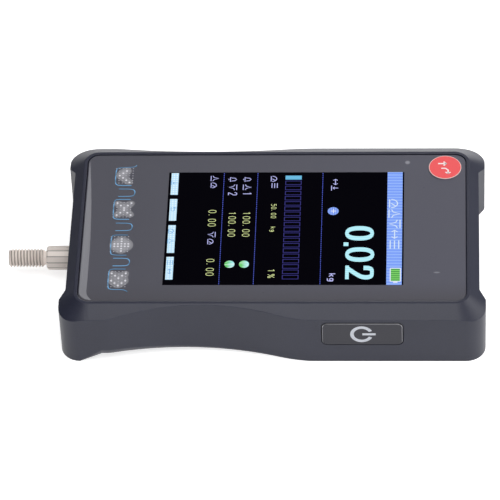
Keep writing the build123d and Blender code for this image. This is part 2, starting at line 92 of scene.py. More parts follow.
axes = camera_axes(CAMERA_AZIMUTH, CAMERA_ELEVATION, CAMERA_ROLL)
camera_place = np.eye(4)
camera_place[:3, :3] = axes
camera_place[:3, 3] = CAMERA_TARGET + CAMERA_DISTANCE * axes[:, 2]
lens = bpy.data.cameras.new("camera")
lens.sensor_width = SENSOR_WIDTH
lens.lens = FOCAL_IN_PIXELS / PICTURE_PIXELS * SENSOR_WIDTH
lens.clip_start, lens.clip_end = CLIP_NEAR, CLIP_FAR
camera = new_object("camera", lens)
camera.matrix_world = Matrix(camera_place.tolist())
bpy.context.scene.camera = camera
print("camera at", np.round(camera_place[:3, 3], 3), "lens", round(lens.lens, 1), "mm")

# %% [markdown]
# ## Shader maths in Python
# A finish is a small network of shader nodes. Wiring sums one node at a time is
# slow to read, so a class wraps a node's socket and lets Python's operators add
# the Math nodes: `1 - mask * 0.5` becomes two nodes. Everything else goes
# through one method that names a node, its settings and its sockets.

# %% Shader helpers


def srgb(red, green, blue):
    """Colour as seen on a screen, 0 to 255, as the linear colour that shaders use."""
    share = np.array([red, green, blue]) / 255.0
    linear = np.where(share <= 0.04045, share / 12.92, ((share + 0.055) / 1.055) ** 2.4)
    return (*(float(v) for v in linear), 1.0)


def sum_node(operation, swapped=False):
    """A method of Wire that adds one Math node. Functions of a single value ignore the second."""
    def method(self, other=0.0):
        first, second = (other, self) if swapped else (self, other)
        return self.finish.node("ShaderNodeMath", {"operation": operation}, {0: first, 1: second})
    return method


class Wire:
    """One output socket of a finish, with arithmetic."""

    def __init__(self, finish, socket):
        self.finish, self.socket = finish, socket

    __add__ = __radd__ = sum_node("ADD")
    __mul__ = __rmul__ = sum_node("MULTIPLY")
    __sub__, __rsub__ = sum_node("SUBTRACT"), sum_node("SUBTRACT", swapped=True)
    __mod__, __abs__ = sum_node("MODULO"), sum_node("ABSOLUTE")
    most, angle_from = sum_node("MAXIMUM"), sum_node("ARCTAN2")
    sine, sign, root = sum_node("SINE"), sum_node("SIGN"), sum_node("SQRT")

    def waves(self, period):
        """Sine wave that repeats every period along this length."""
        return (self * (2 * math.pi / period)).sine()


class Finish:
    """A material with one Principled shader. Constants go straight onto its sockets."""

    def __init__(self, name, **constants):
        self.material = bpy.data.materials.new(name)
        self.material.use_nodes = True
        self.tree = self.material.node_tree
        self.shader = self.tree.nodes["Principled BSDF"]
        self.put(**constants)

    def feed(self, socket, value):
        if isinstance(value, Wire):
            self.tree.links.new(value.socket, socket)
        else:
            socket.default_value = value

    def node(self, kind, settings=None, sockets=None, output=0):
        """Any node, by its type, its settings and what feeds its sockets."""
        made = self.tree.nodes.new(kind)
        for key, value in (settings or {}).items():
            setattr(made, key, value)
        for key, value in (sockets or {}).items():
            self.feed(made.inputs[key], value)
        return Wire(self, made.outputs[output])

    def vector(self):
        """Object coordinates in metres, as one vector."""
        return self.node("ShaderNodeTexCoord", output="Object")

    def place(self):
        """Object coordinates as one vector and as x, y, z in millimetres."""
        vector = self.vector()
        split = self.node("ShaderNodeSeparateXYZ", None, {0: vector}).socket.node
        return (vector, *(Wire(self, side) * PER_METRE for side in split.outputs))

    def stretched(self, vector, x, y, z):
        """The same vector times a factor each way. A small factor draws a pattern out that way."""
        return self.node("ShaderNodeMapping", None, {"Vector": vector, "Scale": (x, y, z)})

    def noise(self, vector, size_mm, detail=2.0):
        """Soft random values from 0 to 1 whose spots are about a size across."""
        return self.node("ShaderNodeTexNoise", None, {
            "Vector": vector, "Scale": PER_METRE / size_mm, "Detail": detail, "Roughness": 0.5,
        })

    def ramp(self, value, low, high):
        """0 below low, 1 above high, and an S-shaped change between them."""
        return self.node("ShaderNodeMapRange", {"interpolation_type": "SMOOTHSTEP"}, {
            "Value": value, "From Min": low, "From Max": high, "To Min": 0.0, "To Max": 1.0,
        })

    def mixed(self, share, first, second):
        """From one colour to another. Inputs 6 and 7 of a Mix node are its colours, output 2 the result."""
        return self.node("ShaderNodeMix", {"data_type": "RGBA"}, {0: share, 6: first, 7: second}, output=2)

    def bump(self, height, depth_mm, normal=None):
        """Tilts the shading as if the surface stood a depth higher where the height is 1."""
        sockets = {"Height": height, "Distance": depth_mm * MM}
        if normal is not None:
            sockets["Normal"] = normal
        self.feed(self.shader.inputs["Normal"], self.node("ShaderNodeBump", None, sockets))

    def put(self, **sockets):
        for name, value in sockets.items():
            self.feed(self.shader.inputs[name.replace("_", " ")], value)

    def on(self, *names):
        """Gives this finish to carried-over solids by name, or to new pieces."""
        for name in names:
            target = nodes[name] if isinstance(name, str) else name
            target.data.materials.clear()
            target.data.materials.append(self.material)
        return self


print("shader helpers ready")

# %% [markdown]
# ## Floor
# The gauge lies on a pale floor, a hair below it. The floor glows a little for
# rays that come from the camera, off a mirror-like surface or through a clear
# one. That lifts it to white without adding light to the gauge.

# %% Floor
FLOOR_GLOW, FLOOR_HALF_SIDE, FLOOR_DROP = 0.7, 12.0, 0.05 * MM


def stage_floor():
    """One square face, as wide as the picture needs, that isn't part of the gauge."""
    mesh = bpy.data.meshes.new("floor")
    corners = np.array([(-1, -1, 0), (1, -1, 0), (1, 1, 0), (-1, 1, 0)]) * FLOOR_HALF_SIDE
    mesh.from_pydata((corners - (0, 0, FLOOR_DROP)).tolist(), [], [(0, 1, 2, 3)])
    floor = new_object("floor", mesh)
    return floor


floor = stage_floor()
floor_finish = Finish("floor_white", Base_Color=(0.8, 0.8, 0.8, 1.0), Roughness=0.9)
rays = floor_finish.node("ShaderNodeLightPath").socket.node
seen, glossy, clear = (Wire(floor_finish, rays.outputs[name]) for name in (
    "Is Camera Ray", "Is Glossy Ray", "Is Transmission Ray"))
glow = floor_finish.node("ShaderNodeEmission", None, {
    "Color": (1.0, 1.0, 1.0, 1.0), "Strength": seen.most(glossy).most(clear) * FLOOR_GLOW,
})
both = floor_finish.node("ShaderNodeAddShader", None, {
    0: Wire(floor_finish, floor_finish.shader.outputs[0]), 1: glow,
})
floor_finish.feed(floor_finish.tree.nodes["Material Output"].inputs["Surface"], both)
floor_finish.on(floor)
print("floor", floor.dimensions[:2])

# %% [markdown]
# ## World and lamps
# A large lamp close by casts a soft shadow, so the studio has four of them. One
# hangs almost overhead. Two stand in front and on the header side, which leaves
# the shaft's end in the shade. The last one stands low behind, where its light
# grazes the far edge. The world adds only a trace of light to the shadows.

# %% World and lamps
WORLD_LIGHT, LAMP_DISTANCE = 0.04, 1.6
# Azimuth and elevation in degrees, width, height and power. Azimuth 0 is the camera's side.
LAMPS = {
    "overhead": (0.0, 79.0, 0.9, 1.1, 14.0),
    "front": (18.0, 20.0, 0.9, 0.9, 8.3),
    "header_side": (99.0, 39.0, 0.9, 0.9, 10.4),
    "behind": (170.0, 16.0, 0.9, 0.8, 11.8),
}
world = bpy.data.worlds.new("studio")
bpy.context.scene.world = world
world.use_nodes = True
background = world.node_tree.nodes["Background"].inputs
background["Color"].default_value = (0.95, 0.97, 1.0, 1.0)
background["Strength"].default_value = WORLD_LIGHT


def soft_lamp(name, azimuth, elevation, width, height, power):
    """Area lamp that faces the gauge, placed the way the camera is."""
    towards = Vector(camera_axes(math.radians(azimuth), math.radians(elevation), 0.0)[:, 2])
    lamp = bpy.data.lights.new(name, "AREA")
    lamp.shape, lamp.size, lamp.size_y, lamp.energy = "RECTANGLE", width, height, power
    holder = new_object(name, lamp)
    holder.location = towards * LAMP_DISTANCE
    holder.rotation_euler = towards.to_track_quat("Z", "Y").to_euler()


for name, numbers in LAMPS.items():
    soft_lamp(name, *numbers)
print("lamps", list(LAMPS))

# %% [markdown]
# ## Mesh helpers
# New pieces are surfaces on a grid of two parameters, worked out with whole
# numpy arrays. A turned part is a stack of closed rings, and a printed mark is a
# set of flat outlines. Both end in one function that makes the Blender mesh.

# %% Mesh helpers


def make_piece(name, points, faces, body, slot, sharp=None):
    """Mesh from points in millimetres and faces as lists of point numbers, riding on a body."""
    mesh = bpy.data.meshes.new(name)
    mesh.from_pydata((np.asarray(points) * MM).tolist(), [], [list(f) for f in faces])
    mesh.update()
    if sharp is not None:
        mesh.polygons.foreach_set("use_smooth", np.ones(len(mesh.polygons), bool))
        mesh.set_sharp_from_angle(angle=math.radians(sharp))
    piece = new_object(name, mesh)
    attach(piece, body)
    print(name, len(mesh.vertices), "points", len(mesh.polygons), "faces")
    return piece


def joined(shapes):
    """Puts several (points, faces) shapes into one, counting each shape's points on from the last."""
    starts = np.cumsum([0] + [len(points) for points, _ in shapes])
    faces = [[int(n) + int(start) for n in face] for (_, fs), start in zip(shapes, starts) for face in fs]
    return np.concatenate([points for points, _ in shapes]), faces


def between_rings(number):
    """Four-sided faces from each row of point numbers to the next, closed round the rows. They face
    outwards where the rows follow one another along a line and turn anticlockwise about it."""
    beside = np.roll(number, -1, axis=1)
    return np.stack([beside[:-1], beside[1:], number[1:], number[:-1]], -1).reshape(-1, 4)


def closed_tube(rings):
    """Closed solid from rings (count, around, 3): faces between neighbours, and at each end a fan
    to the middle of the last ring."""
    number = np.arange(rings.shape[0] * rings.shape[1]).reshape(rings.shape[:2])
    points = np.concatenate([rings.reshape(-1, 3), rings[0].mean(0)[None], rings[-1].mean(0)[None]])
    first, last = np.full_like(number[0], len(points) - 2), np.full_like(number[0], len(points) - 1)
    start = np.stack([np.roll(number[0], -1), number[0], first], -1)
    end = np.stack([number[-1], np.roll(number[-1], -1), last], -1)
    return points, [*between_rings(number).tolist(), *start.tolist(), *end.tolist()]


def rings_about(along, radius, first, second, angles):
    """Rings along a line. Radius is one number a ring or one a point: first + radius cos(angle) and
    second + radius sin(angle) across the line, and the ring's place along it."""
    radius = np.broadcast_to(radius, (len(along), len(angles)))
    return np.stack([first + radius * np.cos(angles), second + radius * np.sin(angles),
                     np.broadcast_to(np.asarray(along)[:, None], radius.shape)], -1)


def disc(x, y, radius, sides):
    """Points at equal angles round a circle, as one flat face."""
    t = np.arange(sides) / sides * 2 * np.pi
    return np.column_stack([x + radius * np.cos(t), y + radius * np.sin(t)]), [list(range(sides))]


def bar(x0, x1, y0, y1):
    """Rectangle between two values of x and two of y, as one flat face."""
    return np.array([(x0, y0), (x1, y0), (x1, y1), (x0, y1)], float), [[0, 1, 2, 3]]


def drawn(*lines):
    """Lines from text, where each point is x,y or u,v in hundredths of a unit."""
    return [np.array([point.split(",") for point in line.split()], float) / 100 for line in lines]


def smoothed(path):
    """Cuts each corner of a line a quarter of the way along both sides, three times over."""
    for _ in range(3):
        near, far = path[:-1] * 0.75 + path[1:] * 0.25, path[:-1] * 0.25 + path[1:] * 0.75
        inner = np.stack([near, far], 1).reshape(-1, 2)
        path = np.concatenate([path[:1], inner[1:-1], path[-1:]])
    return path


def stroke(path, width):
    """Strip of a given width along a line: each point moves half a width to both sides, square to
    the direction from the point before it to the one after it. A closed line has no ends."""
    path = np.asarray(path, float)
    along = np.gradient(path, axis=0)
    if np.allclose(path[0], path[-1]):
        along[[0, -1]] = path[1] - path[-2]
    along /= np.linalg.norm(along, axis=1)[:, None]
    side = np.column_stack([-along[:, 1], along[:, 0]]) * width / 2
    count = len(path)
    n = np.arange(count - 1)
    faces = np.stack([n, n + 1, n + 1 + count, n + count], -1)
    return np.concatenate([path - side, path + side]), faces.tolist()


def flat_piece(name, shapes, z, slot):
    """Flat marks that lie at height z on the gauge and face up."""
    outline, faces = joined(shapes)
    return make_piece(name, np.column_stack([outline, np.full(len(outline), z)]), faces, "gauge_body", slot)


print("mesh helpers ready")

# %% [markdown]
# ## Casing paint
# The casing is a cast shell with dark grey paint that feels like very fine
# sandpaper. Grain finer than the eye can separate still matters, because it
# breaks up reflections, so a small noise drives both colour and bump. A Bevel
# node rounds the shading of the sharp CAD edges by a quarter of a millimetre.
# Where it bends the normal, the paint is smoother, as on edges that hands
# polish, and lighter, which is a painted highlight along the edges.

# %% Casing paint


def paint(name, dark, light, grain_mm, rough, edge_mm=0.25, edge_highlight=0.35):
    """Two tones mixed by a broad cloud and a fine grain, smoother along the edges and lighter there
    with a painted highlight. The angle between the rounded and the flat normal tells where an edge is."""
    finish = Finish(name, IOR=1.46, Specular_IOR_Level=0.42)
    vector = finish.vector()
    cloud = finish.noise(vector, 14.0, 3.0)
    grain = finish.noise(vector, grain_mm)
    rounded = finish.node("ShaderNodeBevel", {"samples": 6}, {"Radius": edge_mm * MM})
    flat = finish.node("ShaderNodeNewGeometry", output="Normal")
    facing = finish.node("ShaderNodeVectorMath", {"operation": "DOT_PRODUCT"}, {0: rounded, 1: flat},
                         output="Value")
    # Painted highlight: the tone is lighter along the edges. The smoother paint there is polish.
    polished_edge_and_highlight = finish.ramp(1.0 - facing, 0.004, 0.08) * edge_highlight
    tone = finish.mixed(cloud * 0.4 + grain * 0.6, dark, light)
    tone_with_edge_highlight = finish.node("ShaderNodeVectorMath", {"operation": "SCALE"}, {0: tone, "Scale": polished_edge_and_highlight + 1.0})
    finish.put(Base_Color=tone_with_edge_highlight, Roughness=grain * 0.16 + (rough - 0.08) - polished_edge_and_highlight * 0.2)
    finish.bump(grain, 0.018, rounded)
    return finish


casing_paint = paint("casing_paint", srgb(36, 38, 51), srgb(52, 54, 71), 0.45, 0.4).on("housing")
paint("cover_moulding", srgb(43, 46, 58), srgb(50, 53, 66), 0.6, 0.55, 0.2, 0.2).on("rear_cover")
print(casing_paint.material.name, len(casing_paint.tree.nodes), "nodes")

# %% [markdown]
# ## Front panel
# The front is one sheet of clear plastic printed grey from behind. Its colour
# therefore lies under a smooth clear layer, which the shader's coat stands for.
# Painted light makes the grey slowly lighter along x, and painted shade darkens
# it near the front edge. Two small pale spots lie in it, each a squared
# distance put through a ramp, so it has a soft border.

# %% Front panel
# Middle x and y of each pale spot, its squeeze along y, its squared radius and its strength.
PALE_SPOTS = ((41.44, 28.44, 1.0, 1.0, 0.5), (50.75, -19.85, 2.8, 1.6, 0.34))
panel_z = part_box("front_panel")[1].z / MM


def panel_finish():
    """Grey with painted light growing along x and painted shade near the front edge, and two pale spots."""
    finish = Finish("panel_print", Roughness=0.3, IOR=1.45, Coat_Weight=0.35, Coat_Roughness=0.05)
    vector, x, y, _ = finish.place()
    # Painted light makes the grey lighter along x, and painted shade darkens it near the front edge.
    tone = finish.mixed(finish.ramp(x, -58.0, 58.0), srgb(84, 84, 93), srgb(88, 88, 99))
    tone = finish.mixed(finish.ramp(y * -1.0, 22.0, 34.0), tone, srgb(80, 79, 86))
    for middle_x, middle_y, squeeze, size, strength in PALE_SPOTS:
        dx, dy = x - middle_x, (y - middle_y) * squeeze
        spot = (1.0 - finish.ramp(dx * dx + dy * dy, 0.0, size)) * strength
        tone = finish.mixed(spot, tone, srgb(190, 190, 198))
    dust = finish.noise(vector, 0.8)
    finish.put(Base_Color=tone, Roughness=dust * 0.1 + 0.25)
    finish.bump(finish.noise(vector, 9.0, 1.0), 0.01)
    return finish


panel_finish().on("front_panel")
print("panel top at", round(panel_z, 3), "mm")

# %% [markdown]
# ## Touch keys
# Each touch key is a symbol made of small lit dots, inside a thin printed line
# that runs from key to key like a circuit track. The lit dots are discs with
# twelve sides. A regular grid of smaller and fainter dots fills the field. All
# of them shine, so one helper makes a finish that shines in its own colour.

# %% Touch keys
MARK_Z = panel_z + 0.02
KEY_X, KEY_PITCH, DOT_PITCH = -47.5, 15.1, 1.08
KEY_Y = (1.5 - np.arange(4)) * KEY_PITCH
BRIGHT_RADIUS, FAINT_RADIUS = 0.33, 0.19
BLACK = (0.0, 0.0, 0.0, 1.0)


def lit(name, colour, second=None, period_mm=0.153, depth=0.12, axis="x"):
    """Finish that shines in its own colour, with the fine rows of a screen across one axis or both.
    The rows fall to a second colour or, without one, to the first less its depth."""
    finish = Finish(name, Base_Color=BLACK, Roughness=0.06, Specular_IOR_Level=0.15, Emission_Strength=1.0)
    _, x, y, _ = finish.place()
    row = 1.0
    for along in [{"x": x, "y": y}[side] for side in axis]:
        row = (along.waves(period_mm) * 0.5 + 0.5) * row
    dim = (*(v * (1 - depth) for v in colour[:3]), 1.0) if second is None else second
    finish.put(Emission_Color=finish.mixed(row, dim, colour))
    return finish


def key_dots():
    """Centres of the lit dots: an arrow, a cross, a plus and a double arrow."""
    k = np.arange(-2, 4)
    arrow = np.column_stack([-49.5 + 1.07 * abs(k), 22.75 - 1.03 * k])
    arms = np.array([2.2, 1.1, 0.0, 0.0, 1.1, 2.2])
    rows = np.array([10.45, 9.37, 8.27, 7.35, 6.18, 5.16])
    cross = np.concatenate([np.column_stack([-47.37 + s * arms, rows]) for s in (-1, 1)])
    column = np.column_stack([np.full(6, -47.4), -5.3 - 1.05 * np.arange(6)])
    beam = np.array([(-47.4 + 1.08 * i, y) for i in (-2, -1, 1, 2) for y in (-7.45, -8.5)])
    k = np.arange(-2, 3)
    vee = np.column_stack([-47.56 + 1.1 * k, -22.24 + 1.05 * abs(k)])
    return np.unique(np.concatenate([arrow, cross, column, beam, vee, vee - (0, 3.15)]), axis=0)


bright = key_dots()
grid_x, grid_y = np.meshgrid(np.arange(-3, 3) * DOT_PITCH, np.arange(-3, 4) * DOT_PITCH)
faint = [(KEY_X + a, y + b) for y in KEY_Y for a, b in zip(grid_x.ravel(), grid_y.ravel())]
key_fields = flat_piece("key_fields", [disc(*dot, FAINT_RADIUS, 8) for dot in faint],
                        MARK_Z + 0.005, "panel_glass")
key_symbols = flat_piece("key_symbols", [disc(*dot, BRIGHT_RADIUS, 12) for dot in bright],
                         MARK_Z + 0.01, "panel_glass")

# %% [markdown]
# ## Light spread in the keys
# Light leaks sideways in the plastic, so a pale haze lies round the lit dots. A
# fine sheet covers each key, and each of its points stores how much light it
# gets: a bell curve of the distance to each dot, added up. The finish reads
# that number as an attribute and is clear wherever it is low.

# %% Light spread in the keys
SPREAD_REACH, SPREAD_CELLS, SPREAD_SIDE, PLUS_CORNER = 1.45, 64, 11.0, 1.38
UPPER_ARM = np.array([(-48.43, 23.78), (-47.36, 24.81)])


def spread_sheets():
    """A square grid over each key, and at each of its points the sum of exp(-(d / reach)^2) over
    the lit dots, where d is the distance to a dot. The arrow's upper arm counts twice, and four
    more sources round off the plus."""
    step = np.linspace(-0.5, 0.5, SPREAD_CELLS + 1) * SPREAD_SIDE
    square = np.stack(np.meshgrid(step, step), -1).reshape(-1, 2)
    number = np.arange(len(square)).reshape(len(step), -1)
    faces = np.stack([number[:-1, :-1], number[:-1, 1:], number[1:, 1:], number[1:, :-1]], -1).reshape(-1, 4)
    symbols = [bright[abs(bright[:, 1] - y) < KEY_PITCH / 2] for y in KEY_Y]
    centres = [(dots.max(0) + dots.min(0)) / 2 for dots in symbols]
    points, all_faces = joined([(square + centre, faces.tolist()) for centre in centres])
    corners = np.array([(-1, -1), (-1, 1), (1, -1), (1, 1)]) * PLUS_CORNER + centres[2]
    away = np.linalg.norm(points[:, None] - np.concatenate([bright, UPPER_ARM, corners])[None], axis=2)
    return points, all_faces, np.exp(-(away / SPREAD_REACH) ** 2).sum(1)


spread_points, spread_faces, spread_level = spread_sheets()
key_spread = flat_piece("key_spread", [(spread_points, spread_faces)], MARK_Z, "panel_glass")
spread_values = key_spread.data.attributes.new("spread", "FLOAT", "POINT").data
spread_values.foreach_set("value", spread_level.astype(np.float32))


def spread_finish():
    """Pale where the light spreads and clear where it ends, with a cloud in it."""
    finish = Finish("key_spread_light", Base_Color=BLACK, Emission_Strength=1.0, Specular_IOR_Level=0.15)
    cloud = finish.noise(finish.vector(), 1.6, 3.0)
    level = finish.node("ShaderNodeAttribute", {"attribute_name": "spread"}, output="Fac")
    tone = finish.mixed(finish.ramp(level + cloud, 1.2, 3.6), srgb(126, 126, 132), srgb(150, 150, 156))
    finish.put(Emission_Color=tone, Alpha=finish.ramp(level + cloud * 0.1, 0.58, 0.86))
    return finish


spread_finish().on(key_spread)
lit("key_light", srgb(218, 218, 225), period_mm=0.6, depth=0.06).on(key_symbols)
lit("key_faint_light", srgb(178, 178, 186), period_mm=2.1, depth=0.2).on(key_fields)

# %% [markdown]
# ## Printed tracks
# The blue lines round the keys are screen-printed at one width. Each starts as
# a few corner points. Cutting its corners again and again makes it round, and
# then a strip of the right width is laid along it.

# %% Printed tracks
TRACK_WIDTH = 0.3


def track_lines():
    """Bracket round each key and the loops that join them, as corner points from each key's centre.
    The first bracket is lower and ends in a spur, and the last one ends in a hook."""
    bracket, loop = drawn("195,440 -250,450 -320,360 -320,-330 -250,-435 195,-435",
                          "-430,165 0,165 90,75 80,-90 0,-165 -430,-165")
    brackets = [bracket + (KEY_X, y + shift) for y, shift in zip(KEY_Y, (0.0, 0.1, -0.45, -0.1))]
    brackets[:1] = drawn("-4430,2730 -4500,2645 -5010,2635 -5080,2530 -5080,1940 -5010,1830 -4560,1825")
    brackets[3] = np.concatenate([brackets[3], [(-44.5, -28.0)]])
    loops = [loop + centre for centre in ((-45.2, 15.1), (-45.3, 0.0), (-45.35, -15.3))]
    return brackets + loops


tracks = flat_piece("key_tracks", [stroke(smoothed(line), TRACK_WIDTH) for line in track_lines()],
                    MARK_Z + 0.008, "panel_glass")
lit("track_ink", srgb(118, 174, 220), srgb(88, 128, 162), 3.0, axis="y").on(tracks)

# %% [markdown]
# ## Screen
# A colour screen is off-black where nothing is shown and shines where something
# is. Its layers lie hundredths of a millimetre apart so that none fights with
# another: first the dark glass, then bars and lines, then figures and symbols.
# Fine waves of a second colour stand for the rows and columns of its pixels.

# %% Screen glass, header and soft keys
SCREEN_X, SCREEN_Y = (-33.85, 40.45), (-25.2, 24.1)
SOFT_KEY_X = (-33.07, -30.78)
SOFT_KEYS_Y = ((14.1, 23.8), (2.65, 12.25), (-11.4, 0.7), (-22.9, -13.1))
BATTERY_CORNERS = drawn("3640,-1810 3955,-1810 3955,-2370 3640,-2370 3640,-1810")[0]
LAYER_1, LAYER_2 = MARK_Z + 0.015, MARK_Z + 0.03


def on_screen(name, shapes, z, ink, colour, second=None, **rows):
    """Marks on the display at height z, in a lit finish of their own."""
    lit(ink, colour, second, **rows).on(flat_piece(name, shapes, z, "display"))


on_screen("screen_glass", [bar(*SCREEN_X, *SCREEN_Y)], MARK_Z, "screen_dark", srgb(4, 3, 9), depth=0.3)
on_screen("screen_header", [bar(35.2, 39.95, *SCREEN_Y)], LAYER_1, "header_blue",
          srgb(152, 186, 252), srgb(118, 152, 248), period_mm=1.25, axis="y")
on_screen("screen_soft_keys", [bar(*SOFT_KEY_X, *key_y) for key_y in SOFT_KEYS_Y], LAYER_1,
          "soft_key_white", srgb(240, 255, 255), srgb(190, 229, 255), period_mm=0.9, axis="xy")
battery_sides = [stroke(BATTERY_CORNERS[n:n + 2], 0.3) for n in range(4)]
on_screen("screen_battery", [*battery_sides, bar(37.3, 38.65, -24.3, -23.8)], LAYER_2,
          "battery_white", srgb(235, 240, 255))
on_screen("screen_battery_level", [bar(36.58, 39.37, -23.52, -18.28)], LAYER_2,
          "battery_green", srgb(144, 232, 116), srgb(40, 124, 62), period_mm=0.88, axis="y")

# %% [markdown]
# ## Rules and bar graph
# A display draws a dotted rule as short dashes at an even pitch. The bar graph
# is a row of outlined cells. Only the first one is filled, for a small force.

# %% Rules and bar graph
RULES_X, DASH_WIDTH, DASH_LENGTH, DASH_PITCH = (14.8, -5.77, -16.42), 0.17, 0.5, 0.86
CELLS, CELL_PITCH, CELL_GAP, CELL_LINE = 20, 2.292, 0.5, 0.22
GRAPH_X, GRAPH_START = (3.0, 8.1), 22.58


def dotted(x):
    """Row of short dashes across the screen."""
    starts = np.arange(SCREEN_Y[0] + 0.3, SCREEN_Y[1], DASH_PITCH)
    return [bar(x - DASH_WIDTH / 2, x + DASH_WIDTH / 2, y, y + DASH_LENGTH) for y in starts]


def cell_outline(number):
    """Four thin bars round one cell of the graph."""
    (x0, x1), y1, t = GRAPH_X, GRAPH_START - number * CELL_PITCH, CELL_LINE
    y0 = y1 - CELL_PITCH + CELL_GAP
    return [bar(x0, x1, y0, y0 + t), bar(x0, x1, y1 - t, y1),
            bar(x0, x0 + t, y0, y1), bar(x1 - t, x1, y0, y1)]


on_screen("screen_rules", sum(map(dotted, RULES_X), []), LAYER_1, "rule_blue", srgb(96, 114, 240))
on_screen("screen_graph_cells", sum(map(cell_outline, range(1, CELLS)), []), LAYER_1,
          "graph_indigo", srgb(62, 60, 134))
on_screen("screen_graph_level", [bar(*GRAPH_X, 20.8, GRAPH_START)], LAYER_1,
          "graph_cyan", srgb(128, 206, 240), srgb(78, 160, 206), period_mm=0.6, axis="y")

# %% [markdown]
# ## Figures
# Each small figure takes an equal cell, as on an old terminal, so the figures
# are drawn as strokes: a figure is a few lines in a unit square, with u along
# the reading direction and v towards the top.

# %% Small figures


def laid(lines, foot, left, height, weight, width=None):
    """Lines in a unit square to strips on the screen: x = foot + v height, y = left - u width."""
    size = np.array([height, -(width or height)])
    return [stroke(line[:, ::-1] * size + (foot, left), weight) for line in lines]


def round_figure(half_width, power):
    """Closed loop between an ellipse and a box: each half size times the sine or cosine of the
    angle, with its sign kept and its size raised to a power below one."""
    t = np.linspace(0, 2 * np.pi, 25)
    wave = np.column_stack([np.sin(t), np.cos(t)])
    return 0.5 + np.array([half_width, 0.5]) * np.sign(wave) * np.abs(wave) ** power


OVAL = round_figure(0.4, 0.8)
FIGURES = {
    "0": [OVAL],
    "1": drawn("22,80 50,100", "50,100 50,0"),
    "2": [*map(smoothed, drawn("10,74 16,98 84,102 90,62 50,36 12,0")), *drawn("10,0 90,0")],
    "5": [*drawn("86,100 20,100", "20,100 16,56"), *map(smoothed, drawn("16,56 84,70 100,30 76,-4 10,4"))],
    ".": drawn("18,0 18,14"),
    "%": [OVAL * (0.36, 0.4) + (0.04, 0.6), OVAL * (0.36, 0.4) + (0.6, 0.0), *drawn("90,100 10,0")],
    "k": drawn("15,0 15,100", "80,66 15,26", "40,42 85,0"),
    "g": [OVAL * (0.75, 0.52) + (0.08, 0.14), *map(smoothed, drawn("82,64 84,0 70,-28 16,-24"))],
}


def figures(text, foot, left, height, pitch, weight, share=0.74):
    """One glyph a cell: cell k starts at left - k pitch, and a glyph fills a share of its cell."""
    return [strip for k, glyph in enumerate(text)
            for strip in laid(FIGURES[glyph], foot, left - k * pitch, height, weight, pitch * share)]


on_screen("screen_limits", [
    *figures("50.00", -1.09, 10.0, 1.5, 1.33, 0.14), *figures("kg", -1.0, 0.0, 1.3, 1.3, 0.15),
    *figures("1%", -1.37, -18.3, 2.0, 2.25, 0.18), *figures("100.00", -9.85, 6.5, 2.15, 1.9, 0.17),
    *figures("100.00", -14.35, 6.5, 2.15, 1.9, 0.17), *figures("0.00", -20.7, 7.4, 2.3, 1.96, 0.17),
    *figures("0.00", -20.55, -13.95, 2.3, 1.96, 0.17),
], LAYER_2, "limit_olive", srgb(242, 255, 178))

# %% [markdown]
# ## Large reading
# The reading is drawn with a broad pen, whose stroke is wider across the figure
# than along it. Its lines are laid in a box measured in pens, where the pen is
# one wide both ways, and then the box is stretched to the pen's two sizes.

# %% Large reading
PEN_ALONG, PEN_ACROSS = 1.12, 1.85
LARGE_ZERO = [round_figure(0.5, 0.85)]
LARGE_TWO = [*map(smoothed, drawn("0,66 0,86 16,100 50,100 84,100 100,86 100,66 82,46 5,2")),
             *drawn("-25,0 120,0")]


def broad(lines, foot, top, left, right):
    """The lines of a figure in units of the pen, each made a strip one pen wide, then stretched
    to the pen's two sizes: x = foot + v pen_along, y = left - u pen_across."""
    room = np.array([(top - foot) / PEN_ALONG, (left - right) / PEN_ACROSS]) - 1.0
    strips = [stroke(line[:, ::-1] * room + 0.5, 1.0) for line in lines]
    return [(points * (PEN_ALONG, -PEN_ACROSS) + (foot, left), [face[::-1] for face in faces])
            for points, faces in strips]


on_screen("screen_reading", [
    *broad(LARGE_ZERO, 22.2, 31.2, 0.2, -6.1), bar(21.8, 23.3, -8.5, -6.9),
    *broad(LARGE_ZERO, 22.35, 31.4, -9.0, -15.3), *broad(LARGE_TWO, 22.5, 31.3, -17.0, -22.9),
], LAYER_2, "reading_cyan", srgb(196, 248, 253), srgb(168, 232, 248), period_mm=0.9, axis="y")

# %% [markdown]
# ## Screen symbols
# The rows of the screen are named by small plain symbols: a dial, a peak, a
# valley, a bell, arrows and a list. They are lines in the same unit square as
# the figures.

# %% Symbols
HALF_TURN = np.radians(np.arange(0, 181, 15))
DIAL = [np.column_stack([0.5 + 0.5 * np.cos(HALF_TURN), 0.15 + 0.6 * np.sin(HALF_TURN)]),
        *drawn("50,15 78,55", "0,0 100,0")]
PEAK = drawn("0,20 30,35 50,100 70,35 100,20", "0,-5 100,-5")
VALLEY = drawn("0,75 30,60 50,0 70,60 100,75", "0,100 100,100")
BELL = drawn("12,20 25,40 28,75 50,95 72,75 75,40 88,20 12,20", "40,2 60,2")
ARROWS = drawn("0,50 100,50", "22,78 0,50 22,22", "78,78 100,50 78,22")
LIST = drawn("0,10 100,10", "0,50 100,50", "0,90 100,90")
TARE = drawn("0,0 100,0", "50,95 50,20", "28,45 50,20 72,45")
UNDO = drawn("10,20 75,20 95,45 75,70 10,70", "32,95 8,70 32,45")
PLUS = drawn("15,50 85,50", "50,15 50,85")

